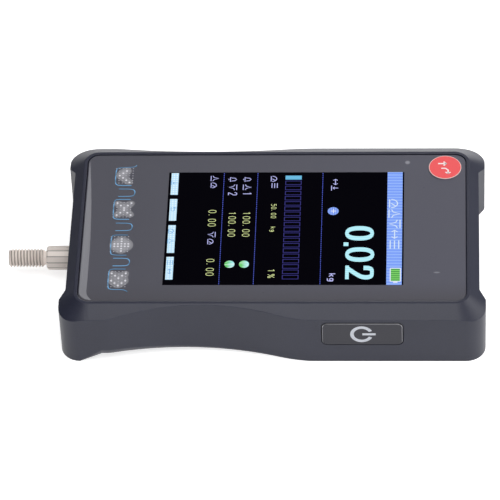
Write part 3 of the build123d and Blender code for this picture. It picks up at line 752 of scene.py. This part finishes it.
on_screen("screen_header_symbols", [
    strip for k, symbol in enumerate((DIAL, PEAK, VALLEY, ARROWS, LIST))
    for strip in laid(symbol, 35.95, 11.9 - 4.5 * k, 3.3, 0.34, 3.6)
], LAYER_2, "header_white", srgb(222, 238, 255))
on_screen("screen_row_symbols", [
    *laid(ARROWS, 17.6, 20.9, 2.4, 0.26), *laid(TARE, 17.6, 18.1, 2.2, 0.26),
    *laid(DIAL, -1.5, 22.3, 2.3, 0.25), *laid(LIST, -1.4, 19.2, 2.1, 0.25),
    *laid(BELL, -10.3, 22.2, 2.6, 0.25), *laid(PEAK, -10.1, 18.6, 2.4, 0.25),
    *figures("1", -10.2, 15.2, 2.6, 1.9, 0.28),
    *laid(BELL, -14.9, 22.2, 2.6, 0.25), *laid(VALLEY, -14.7, 18.6, 2.4, 0.25),
    *figures("2", -14.8, 15.2, 2.6, 1.9, 0.28),
    *laid(PEAK, -20.4, 22.5, 2.3, 0.24), *laid(DIAL, -20.4, 19.4, 2.2, 0.24),
    *laid(VALLEY, -20.6, -2.3, 2.3, 0.24), *laid(DIAL, -20.5, -5.4, 2.2, 0.24),
    *figures("kg", 17.53, -20.2, 1.9, 1.95, 0.32, 0.86),
], LAYER_2, "symbol_lilac", srgb(196, 198, 255))
on_screen("screen_key_names", [
    *laid(TARE, -33.0, 20.4, 2.1, 0.26), *laid(UNDO, -33.0, 8.8, 2.1, 0.26),
    *laid(DIAL, -32.9, -0.9, 2.0, 0.26), *laid(PEAK, -32.9, -5.2, 2.0, 0.26),
    *laid(LIST, -32.8, -14.6, 1.9, 0.26), *laid(ARROWS, -32.9, -18.4, 2.0, 0.26),
], LAYER_2, "key_name_blue", srgb(140, 190, 236))
on_screen("screen_mode_light", [disc(18.3, 6.8, 1.72, 28)], LAYER_1,
          "mode_light_blue", srgb(150, 184, 250), srgb(112, 140, 238), period_mm=0.7)
on_screen("screen_mode_mark", laid(PLUS, 17.2, 8.0, 2.4, 0.34), LAYER_2,
          "mode_mark_white", srgb(226, 234, 255))
state_lights = flat_piece("screen_state_lights", [disc(x, -16.3, 1.55, 28) for x in (-8.9, -13.4)],
                          LAYER_1, "display")
STATE_X, STATE_OFF = -11.05, 2.3


def state_finish():
    """Green that turns pale across each light, with bright streaks along X. The distance from the
    line halfway between the lights, less that of a light's middle, says where in a light it is."""
    finish = Finish("state_green", Base_Color=BLACK, Emission_Strength=1.0, Specular_IOR_Level=0.2)
    vector, x, _, _ = finish.place()
    streak = finish.ramp(finish.noise(finish.stretched(vector, 0.15, 1.0, 1.0), 0.7), 0.45, 0.6)
    off = x - STATE_X
    across = (abs(off) - STATE_OFF) * off.sign()
    tone = finish.mixed(finish.ramp(across, -1.2, 1.2), srgb(92, 200, 92), srgb(160, 234, 236))
    finish.put(Emission_Color=finish.mixed(streak * 0.5, tone, srgb(236, 250, 250)))
    return finish


state_finish().on(state_lights)

# %% [markdown]
# ## Power button
# The button is a separate moulding in a window of the near wall, and it is
# pressed inwards, so its symbol rides on it. Its edge was cut bright after
# painting. The cut lies between two depths along Y, which is all that the
# finish needs to know to find it.

# %% Power button
SYMBOL_X, SYMBOL_Z, SYMBOL_LIFT = 27.7, 12.47, 0.03
RING_RADIUS, RING_WIDTH, LINE_WIDTH = 2.98, 1.12, 0.95
button_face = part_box("power_button")[0].y / MM


def button_finish():
    """Dark paint whose colour, gloss and metal change with the depth behind the button's face, with
    painted shade deep in the edge, where the gap's shadow falls.
    """
    finish = Finish("button_paint", IOR=1.46)
    vector, _, y, _ = finish.place()
    grain = finish.noise(vector, 0.3)
    depth = y - button_face
    cut = finish.ramp(depth, 0.03, 0.07) * (1.0 - finish.ramp(depth, 0.18, 0.24))
    # Painted shade: deep in the edge the paint turns near black, as the gap's shadow.
    painted_gap_shade = finish.ramp(depth, 0.2, 0.3)
    face = finish.mixed(grain, srgb(36, 36, 46), srgb(42, 42, 53))
    face = finish.mixed(painted_gap_shade * 0.75, face, srgb(14, 14, 17))
    finish.put(Base_Color=finish.mixed(cut * 0.8, face, srgb(176, 176, 181)),
               Roughness=grain * 0.14 + 0.38 - cut * 0.14, Metallic=cut * 0.8)
    finish.bump(grain, 0.012)
    return finish


def power_symbol():
    """Open ring with a bar through the gap, drawn in x and z and laid just in front of the button."""
    t = np.radians(np.linspace(25, 335, 60))
    circle = np.column_stack([np.cos(t), np.sin(t)]) * RING_RADIUS + (SYMBOL_X, SYMBOL_Z)
    ring = stroke(circle, RING_WIDTH)
    line = stroke([(SYMBOL_X + 0.2, SYMBOL_Z), (SYMBOL_X + 4.3, SYMBOL_Z)], LINE_WIDTH)
    outline, faces = joined([ring, line])
    front = np.full(len(outline), button_face - SYMBOL_LIFT)
    return np.column_stack([outline[:, 0], front, outline[:, 1]]), faces


def printed_ink(name, grain_mm, first, second):
    """Ink in two close tones, and the grain that mixes them."""
    finish = Finish(name, Roughness=0.5)
    grain = finish.noise(finish.vector(), grain_mm)
    finish.put(Base_Color=finish.mixed(grain, first, second))
    return finish, grain


button_finish().on("power_button")
power_mark = make_piece("power_symbol", *power_symbol(), "power_key", "button")
power_ink, ink_grain = printed_ink("power_symbol_ink", 0.4, srgb(206, 210, 220), srgb(228, 231, 240))
power_ink.bump(ink_grain, 0.01)
power_ink.on(power_mark)

# %% [markdown]
# ## Pull tab
# The gauge is new, so a clear film still covers its front, and a round red tab
# lifts that film. The tab is stiff paper with a pale cut rim. Its print is two
# arrows that say which way to pull.

# %% Pull tab
tab_low, tab_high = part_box("pull_tab")
TAB_X, TAB_Y = (tab_low.x + tab_high.x) / 2 / MM, (tab_low.y + tab_high.y) / 2 / MM
TAB_RADIUS = (tab_high.x - tab_low.x) / 2 / MM
TAB_ARROW = drawn("50,0 50,100", "18,66 50,100 82,66")
TAB_PEEL = drawn("0,0 0,55 35,90 100,90", "70,55 100,90 70,120")


def tab_finish():
    """Red fibres, and a pale rim where the squared distance from the middle is near its greatest."""
    finish = Finish("tab_paper", Roughness=0.5, IOR=1.4)
    vector, x, y, _ = finish.place()
    dx, dy = x - TAB_X, y - TAB_Y
    fibre = finish.noise(finish.stretched(vector, 1.0, 3.0, 1.0), 0.5, 3.0)
    red = finish.mixed(fibre, srgb(236, 75, 79), srgb(242, 94, 97))
    rim = finish.ramp(dx * dx + dy * dy, (TAB_RADIUS - 0.2) ** 2, (TAB_RADIUS - 0.1) ** 2)
    finish.put(Base_Color=finish.mixed(rim, red, srgb(250, 222, 216)), Roughness=fibre * 0.2 + 0.4)
    finish.bump(fibre, 0.012)
    return finish


tab_finish().on("pull_tab")
tab_mark = flat_piece("pull_tab_mark", [
    *laid(TAB_ARROW, TAB_X - 2.2, TAB_Y + 2.9, 2.6, 0.55),
    *laid(TAB_PEEL, TAB_X - 1.2, TAB_Y - 0.5, 2.4, 0.5),
], tab_high.z / MM + 0.015, "tab")
printed_ink("tab_ink", 0.5, srgb(252, 226, 224), srgb(255, 240, 238))[0].on(tab_mark)

# %% [markdown]
# ## Protective film
# At the shaft's end the film has let go of the panel and curls up a little, and
# there a painted pale sheen stands for the light reflected in the lifted film.
# The film is a fan of rings that shrink from its outline to its centre, raised
# where it has let go. Its finish is all but clear where it still sticks.

# %% Protective film
film_low, film_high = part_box("protective_film")
FILM_RISE, FILM_SINK, FILM_CORNER, LOOSE_WIDTH = 0.35, 0.02, 3.4, 3.0
LOOSE_X, FAR_Y, FAR_BEND, NEAR_Y, NEAR_BEND = -57.0, -15.0, 0.0011, -28.0, 0.13


def rounded_outline(x0, x1, y0, y1, radius, count):
    """Points at equal steps round a rectangle with round corners, anticlockwise from (x1, y0)."""
    t = np.linspace(0, np.pi / 2, 12)
    corners = [(x1 - radius, y0 + radius, -np.pi / 2), (x1 - radius, y1 - radius, 0.0),
               (x0 + radius, y1 - radius, np.pi / 2), (x0 + radius, y0 + radius, np.pi)]
    quarters = [np.column_stack([x + radius * np.cos(t + a), y + radius * np.sin(t + a)])
                for x, y, a in corners]
    path = np.concatenate([*quarters, quarters[0][:1]])
    length = np.concatenate([[0.0], np.cumsum(np.linalg.norm(np.diff(path, axis=0), axis=1))])
    at = np.arange(count) / count * length[-1]
    return np.column_stack([np.interp(at, length, path[:, 0]), np.interp(at, length, path[:, 1])])


def loose_edge(y, most):
    """x of the line along which the film has let go: straight near the middle, bending out of the
    sheet towards the far corner and into it round the near one. The mesh and the finish share it,
    each with its own way to take the larger of two values."""
    far, near = most(y - FAR_Y, 0.0), most(NEAR_Y - y, 0.0)
    return far * far * -FAR_BEND + near * near * NEAR_BEND + LOOSE_X


def film_sheet():
    """Rings that shrink from the outline to the middle. Each point rises by the square of its
    distance past the loose edge, counted in widths of the loose strip, times the film's rise."""
    sides = (film_low.x / MM, film_high.x / MM, film_low.y / MM, film_high.y / MM)
    outline = rounded_outline(*sides, FILM_CORNER, 480)
    share = 1.0 - np.concatenate([np.linspace(0.0, 0.06, 16), [0.12, 0.3, 0.6, 0.97]])
    middle, base = outline.mean(0), film_high.z / MM - FILM_SINK
    rings = middle + (outline - middle) * share[:, None, None]
    loose = np.maximum(loose_edge(rings[..., 1], np.maximum) - rings[..., 0], 0.0) / LOOSE_WIDTH
    raised = np.concatenate([rings, (base + FILM_RISE * loose ** 2)[..., None]], -1)
    points = np.concatenate([raised.reshape(-1, 3), [(*middle, base)]])
    number = np.arange(len(points) - 1).reshape(len(share), -1)
    fan = np.stack([number[-1], np.roll(number[-1], -1), np.full(number.shape[1], len(points) - 1)], -1)
    return points, [*between_rings(number)[:, [3, 0, 1, 2]].tolist(), *fan.tolist()]


film = make_piece("film_sheet", *film_sheet(), "gauge_body", "film", sharp=60)
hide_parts("protective_film")


def film_finish():
    """Clear, and past the loose edge a painted pale reflection with faint streaks."""
    finish = Finish("clear_film", Base_Color=srgb(200, 200, 206), Roughness=0.12, IOR=1.45,
                    Specular_IOR_Level=0.4)
    vector, x, y, _ = finish.place()
    # Painted reflection: past the loose edge the film turns pale and less clear, with faint streaks.
    loose = finish.ramp(loose_edge(y, Wire.most) - x, 0.0, 0.25)
    streak = finish.noise(finish.stretched(vector, 1.0, 0.03, 1.0), 0.5)
    finish.put(Alpha=loose * (streak * 0.16 + 0.25) + 0.0005)
    return finish


film_finish().on(film)
print("film rises", FILM_RISE, "mm at its loose end")

# %% [markdown]
# ## Threaded shaft
# The stud that hooks and probes screw onto is turned from one bar: an M6
# thread, a thinner neck, a twelve-sided grip for finger and spanner, and a
# smooth journal that runs into the casing. On a lathe everything is a radius
# along the axis. Here the radius also depends on the angle, which is how the
# thread climbs and how the grip gets its flats.

# %% Threaded shaft
SHAFT_Z = 7.2
THREAD_RADIUS, THREAD_PITCH = 3.0, 1.0
THREAD_DEPTH, ROOT_SHARE, FLANK_SHARE = 0.6134, 0.22, 0.66  # of the pitch, and of half a turn
TIP_X, NECK_LEFT, GRIP_LEFT, GRIP_RIGHT, SHAFT_END = -84.0, -72.9, -72.0, -62.9, -50.8
NECK_RADIUS, JOURNAL_RADIUS, TIP_RADIUS, RUNOUT_RADIUS, CONE_RADIUS = 2.2, 2.5, 2.35, 2.45, 3.3
GRIP_SIDES, GRIP_APOTHEM, GRIP_TURN = 12, 3.72, math.radians(9.2)
GRIP_SIDE = 2 * math.pi / GRIP_SIDES
CORNER_GROOVE, GROOVE_HALF_ANGLE = 0.03, math.radians(2.3)


def thread_radius(x, angle, crest, pitch):
    """crest less the thread's depth where the turn counted along the axis less the turn counted
    round it is half a turn out: a triangle wave with its top and bottom cut flat."""
    turn = (x / pitch - angle / (2 * np.pi)) % 1.0
    height = np.clip((np.abs(2 * turn - 1) - ROOT_SHARE) / FLANK_SHARE, 0, 1)
    return crest - THREAD_DEPTH * pitch * (1 - height)


def shaft_angles():
    """Eight angles to each side of the grip, close together at the corners."""
    steps = np.radians([0.0, 1.3, 2.3, 8.0, 15.0, 22.0, 27.7, 28.7])
    return (GRIP_TURN + np.arange(GRIP_SIDES)[:, None] * GRIP_SIDE + steps).ravel()


def threaded_shaft():
    """Rings along x. The grip's radius is its apothem over the cosine of the angle to the middle of
    a side, cut by a cone at the front and by a narrow groove at each corner."""
    angles = shaft_angles()
    off = (angles - GRIP_TURN) % GRIP_SIDE
    polygon = GRIP_APOTHEM / np.cos(off - GRIP_SIDE / 2)
    corner = np.minimum(off, GRIP_SIDE - off)
    grooved = polygon - CORNER_GROOVE * np.clip(1 - corner / GROOVE_HALF_ANGLE, 0, 1)
    thread_x = np.linspace(TIP_X, NECK_LEFT, 200)
    thread = thread_radius(thread_x[:, None], angles[None], THREAD_RADIUS, THREAD_PITCH)
    ends = np.minimum(TIP_RADIUS + (thread_x - TIP_X), RUNOUT_RADIUS + (NECK_LEFT - thread_x))[:, None]
    front_x = GRIP_LEFT + np.array([0, 0.02, 0.08, 0.16, 0.26, 0.38, 0.5, 0.62])
    front = np.minimum(grooved, CONE_RADIUS + (front_x - GRIP_LEFT)[:, None])
    rings_x = np.concatenate([thread_x, [NECK_LEFT, GRIP_LEFT], front_x, [GRIP_RIGHT, GRIP_RIGHT, SHAFT_END]])
    flat = np.ones((2, len(angles)))
    radius = np.concatenate([
        np.minimum(thread, ends), flat * NECK_RADIUS, front, grooved[None], flat * JOURNAL_RADIUS])
    return closed_tube(rings_about(rings_x, radius, 0.0, SHAFT_Z, angles)[..., [2, 0, 1]])


shaft = make_piece("threaded_shaft", *threaded_shaft(), "sensing_shaft", "shaft_steel", sharp=14)
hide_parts("force_shaft")


def turned_metal(name, dark, light, rough, along="x", ring_mm=0.12, metallic=1.0,
                 cloud_mm=3.0, detail=2.0, uneven=0.16, depth_mm=0.004):
    """Metal from a lathe: fine rings across its axis, which are noise squeezed along it, and a cloud."""
    finish = Finish(name, Metallic=metallic)
    vector = finish.vector()
    squeeze = [1.0 if letter == along else 0.02 for letter in "xyz"]
    rings = finish.noise(finish.stretched(vector, *squeeze), ring_mm)
    cloud = finish.noise(vector, cloud_mm, detail)
    finish.put(Base_Color=finish.mixed(cloud, dark, light), Roughness=rings * uneven + rough)
    finish.bump(rings, depth_mm)
    return finish


def shaft_finish():
    """Bright turned steel, with painted shade in the bottoms of the thread, which the distance from the
    axis tells, and along the corners of the grip, which the angle round it tells."""
    finish = turned_metal("shaft_steel", srgb(243, 231, 223), srgb(252, 244, 238), 0.5, metallic=0.22)
    _, x, y, z = finish.place()
    above = z - SHAFT_Z
    angle = above.angle_from(y)
    corner = abs((angle + (2 * math.pi - GRIP_TURN)) % GRIP_SIDE - GRIP_SIDE / 2)
    # Painted shade: dark lines along the grip's corners, where grooves would lie in shade.
    line = finish.ramp(corner, GRIP_SIDE / 2 - math.radians(3.0), GRIP_SIDE / 2 - math.radians(1.2))
    on_grip = finish.ramp(x, GRIP_LEFT, GRIP_LEFT + 0.1)
    distance = (above * above + y * y).root()
    # Painted shade: the bottoms of the thread turn dark.
    thread_root_shade = (1.0 - finish.ramp(distance, 2.42, 2.72)) * (1.0 - finish.ramp(x, NECK_LEFT - 0.6, NECK_LEFT))
    dark = (line * on_grip * 0.72).most(thread_root_shade * 0.66)
    bright_steel = Wire(finish, finish.shader.inputs["Base Color"].links[0].from_socket)
    finish.put(Base_Color=finish.mixed(dark, bright_steel, srgb(96, 86, 80)))
    return finish


shaft_finish().on(shaft, "jam_nut")

# %% [markdown]
# ## Case screws
# Four countersunk screws hold the rear cover. CAD keeps them plain, so here
# they get a hexagonal socket and a thread. Each is a stack of rings that runs
# from the floor of its socket out over the head and down the shank.

# %% Case screws
SCREW_HEAD, SCREW_SHANK, SCREW_PITCH = 2.5, 1.25, 0.45
SOCKET_WIDTH, SOCKET_DEPTH, HEAD_CHAMFER = 1.7, 1.15, 0.12


def countersunk_screw(x, y, z0, length):
    """From the floor of the hexagonal socket out over the head, down its cone and along the
    thread. z0 is the head's outer face, and the shank points up from it."""
    angles = np.arange(48) / 48 * 2 * np.pi
    hexagon = SOCKET_WIDTH / 2 / np.cos((angles % (np.pi / 3)) - np.pi / 6)[None]
    cone = SCREW_HEAD - SCREW_SHANK
    along = np.linspace(cone, length, 90)
    thread = thread_radius(along[:, None], angles[None], SCREW_SHANK, SCREW_PITCH)
    point = 0.7 * SCREW_SHANK + (length - along)[:, None]
    flat = np.ones((1, 48))
    z = np.concatenate([[SOCKET_DEPTH, SOCKET_DEPTH, HEAD_CHAMFER, 0.0, 0.0, HEAD_CHAMFER, cone], along])
    radius = np.concatenate([
        flat * 0.02, hexagon, hexagon, hexagon + HEAD_CHAMFER, flat * (SCREW_HEAD - HEAD_CHAMFER),
        flat * SCREW_HEAD, flat * SCREW_SHANK, np.minimum(thread, point),
    ])
    return closed_tube(rings_about(z0 + z, radius, x, y, angles))


def middle_of(node):
    """Middle, lower and upper corner of a solid's box, in millimetres."""
    low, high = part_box(node)
    return ((low + high) / 2 / MM), (low / MM), (high / MM)


screw_black = turned_metal("black_oxide", srgb(52, 52, 56), srgb(70, 70, 74), 0.38, "z")
for number in range(1, 5):
    centre, low, high = middle_of(f"case_screw_{number}")
    shape = countersunk_screw(centre.x, centre.y, low.z, high.z - low.z)
    screw = make_piece(f"case_screw_head_{number}", *shape, "gauge_body", "black_screw", sharp=30)
    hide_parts(f"case_screw_{number}")
    screw_black.on(screw)

# %% [markdown]
# ## Insert threads
# The screws of a test stand turn into four brass inserts, whose bores CAD keeps
# plain. A thread lines each bore: a wave on its inner side and a plain wall on
# its outer side, carried round a circle and closed on itself.

# %% Insert threads
INSERT_BORE, INSERT_PITCH, THREAD_SHARE = 2.0, 0.7, 0.55


def insert_thread(x, y, z0, z1):
    """Up the wave and back down the wall in 200 steps, at 60 angles round the bore."""
    turns = np.arange(60) / 60 * 2 * np.pi
    z = np.linspace(z0 + 0.05, z1 - 0.05, 100)
    wave = thread_radius(z[:, None], -turns[None], INSERT_BORE, INSERT_PITCH) - INSERT_BORE
    inner = INSERT_BORE + 0.02 - (wave + THREAD_DEPTH * INSERT_PITCH) * THREAD_SHARE
    radius = np.concatenate([inner, np.full((len(z), 60), INSERT_BORE + 0.06)])
    number = np.arange(radius.size).reshape(radius.shape)
    points = rings_about(np.concatenate([z, z[::-1]]), radius, x, y, turns)
    return points.reshape(-1, 3), between_rings(np.concatenate([number, number[:1]]))[:, ::-1].tolist()


insert_brass = turned_metal("insert_brass", srgb(176, 142, 84), srgb(206, 174, 112), 0.24, "z", 0.15,
                            cloud_mm=1.5, detail=3.0, uneven=0.2, depth_mm=0.006)
for number in range(1, 5):
    centre, low, high = middle_of(f"mount_insert_{number}")
    shape = insert_thread(centre.x, centre.y, low.z, high.z)
    thread = make_piece(f"insert_thread_{number}", *shape, "gauge_body", "insert_brass", sharp=40)
    insert_brass.on(thread, f"mount_insert_{number}")

# %% [markdown]
# ## Charging socket
# The socket in the header end is a drawn steel shell round a thin black tongue
# with gold contacts. It is one solid, so its finish tells the tongue by its
# place: it lies close to the middle, both across and up.

# %% Charging socket
CONTACT_PITCH, TONGUE_HALF_WIDTH, TONGUE_HALF_HEIGHT = 0.5, 2.9, 0.5
socket_middle = middle_of("charging_socket")[0]


def socket_finish():
    """Steel, but black within the tongue's width and height, with a comb of gold contacts on it."""
    finish = Finish("socket_shell", IOR=1.5)
    vector, _, y, z = finish.place()
    across, above = abs(y - socket_middle.y), abs(z - socket_middle.z)
    tongue = (1.0 - finish.ramp(across, TONGUE_HALF_WIDTH, TONGUE_HALF_WIDTH + 0.05)) * (
        1.0 - finish.ramp(above, TONGUE_HALF_HEIGHT, TONGUE_HALF_HEIGHT + 0.1))
    contact = finish.ramp(y.waves(CONTACT_PITCH), 0.0, 0.3) * finish.ramp(above, 0.3, 0.34) * tongue
    cloud = finish.noise(vector, 1.2)
    metal = finish.mixed(cloud, srgb(176, 178, 184), srgb(206, 208, 212))
    tone = finish.mixed(contact, finish.mixed(tongue, metal, srgb(26, 26, 28)), srgb(214, 178, 96))
    finish.put(Base_Color=tone, Metallic=(1.0 - tongue).most(contact), Roughness=cloud * 0.15 + 0.22)
    finish.bump(cloud, 0.01)
    return finish


socket_finish().on("charging_socket")
print("charging socket", tuple(round(v, 2) for v in socket_middle))

# %% [markdown]
# ## What the casing hides
# The inner parts are seen when the part is taken to pieces. Each has a finish
# of its own kind: milled alloy, solder mask with copper under it, tinned steel,
# moulded nylon, foam, polyimide and a battery's sleeve. One helper makes the
# moulded and coated ones from two tones and a grain.

# %% Moulded and coated parts


def moulded(name, dark, light, grain_mm, rough, depth_mm=0.015, stretch=(1.0, 1.0, 1.0)):
    """Two tones mixed by a fine grain and a cloud twelve times its size."""
    finish = Finish(name, IOR=1.46)
    vector = finish.vector()
    grain = finish.noise(finish.stretched(vector, *stretch), grain_mm, 3.0)
    cloud = finish.noise(vector, grain_mm * 12)
    tone = finish.mixed(grain * 0.6 + cloud * 0.4, dark, light)
    finish.put(Base_Color=tone, Roughness=grain * 0.2 + (rough - 0.1))
    finish.bump(grain, depth_mm)
    return finish


moulded("display_module", srgb(22, 22, 26), srgb(34, 34, 38), 0.8, 0.3, 0.004).on("display")
moulded("soft_foam", srgb(48, 48, 50), srgb(74, 74, 76), 0.5, 0.9, 0.08).on("display_pad", "battery_pad")
moulded("adhesive_sheet", srgb(26, 26, 28), srgb(40, 40, 42), 0.6, 0.6).on("panel_adhesive")
moulded("chip_resin", srgb(24, 24, 26), srgb(40, 40, 42), 0.2, 0.6).on("processor", "buzzer", "power_switch")
moulded("nylon", srgb(214, 206, 184), srgb(230, 224, 204), 0.6, 0.45).on(
    "battery_header", "cell_header", "display_connector")
moulded("acetal", srgb(222, 220, 210), srgb(238, 236, 228), 0.5, 0.4).on("shaft_bushing")
moulded("plunger_resin", srgb(30, 30, 32), srgb(46, 46, 48), 0.4, 0.5).on("switch_plunger")
moulded("battery_sleeve", srgb(36, 62, 128), srgb(48, 78, 150), 5.0, 0.3, 0.05, (0.3, 1.0, 1.0)).on(
    "battery_pack")
turned_metal("tinned_steel", srgb(196, 198, 200), srgb(216, 217, 218), 0.3, "y", 0.4).on("sensor_shield")

# %% [markdown]
# ## Load cell, boards, ribbon and leads
# These need more than two tones. The alloy beam carries a strain gauge under
# clear glue, the boards show copper through green lacquer, and the ribbon and
# the leads have lines along them. Each finish finds its detail by its place.

# %% Load cell, boards, ribbon and leads
GAUGE_X = -39.7


def milled_alloy():
    """Milled aluminium with a strain gauge under clear glue between the two eyes."""
    finish = Finish("milled_alloy")
    vector, x, y, z = finish.place()
    cut = finish.noise(finish.stretched(vector, 1.0, 0.03, 1.0), 0.3)
    inside = (1.0 - finish.ramp(abs(y), 5.6, 6.0)) * (1.0 - finish.ramp(abs(x - GAUGE_X), 2.6, 3.0))
    patch = inside * finish.ramp(z, 11.7, 11.8)
    metal = finish.mixed(cut, srgb(186, 188, 192), srgb(212, 213, 216))
    tone = finish.mixed(patch, metal, srgb(206, 176, 104))
    finish.put(Base_Color=tone, Metallic=1.0 - patch * 0.8, Roughness=cut * 0.15 + 0.28)
    finish.bump(cut, 0.006)
    return finish


def solder_mask():
    """Green mask over copper: squares of noise stand for tracks, seen as a lighter green."""
    finish = Finish("solder_mask", Coat_Weight=0.4, Coat_Roughness=0.1)
    vector = finish.vector()
    cells = finish.node("ShaderNodeTexVoronoi", {"distance": "CHEBYCHEV", "feature": "F1"},
                        {"Vector": vector, "Scale": 480.0, "Randomness": 0.6})
    copper = finish.ramp(cells, 0.32, 0.36)
    grain = finish.noise(vector, 0.5)
    tone = finish.mixed(copper, srgb(18, 84, 46), srgb(34, 116, 66))
    finish.put(Base_Color=tone, Roughness=grain * 0.15 + 0.35)
    finish.bump(copper, 0.02)
    return finish


def striped(name, first, second, period_mm):
    """Two colours in lines across Y, with soft borders: ribbon conductors or the wires of a pair."""
    finish = Finish(name, Metallic=0.0)
    vector, _, y, _ = finish.place()
    grain = finish.noise(vector, 0.4)
    line = finish.ramp(y.waves(period_mm), -0.3, 0.3)
    finish.put(Base_Color=finish.mixed(line, first, second), Roughness=grain * 0.2 + 0.3)
    finish.bump(line + grain * 0.3, 0.03)
    return finish


milled_alloy().on("load_cell")
solder_mask().on("main_board", "touch_board")
striped("ribbon", srgb(172, 104, 40), srgb(206, 146, 72), 0.8).on("display_ribbon")
striped("wire_sleeve", srgb(150, 24, 22), srgb(176, 40, 34), 1.2).on("cell_cable", "battery_cable")
print("finishes", len(bpy.data.materials))

# %% [markdown]
# ## Closing
# The Standard view transform shows colours as they are written.

# %% Closing
bpy.context.scene.view_settings.view_transform = "Standard"
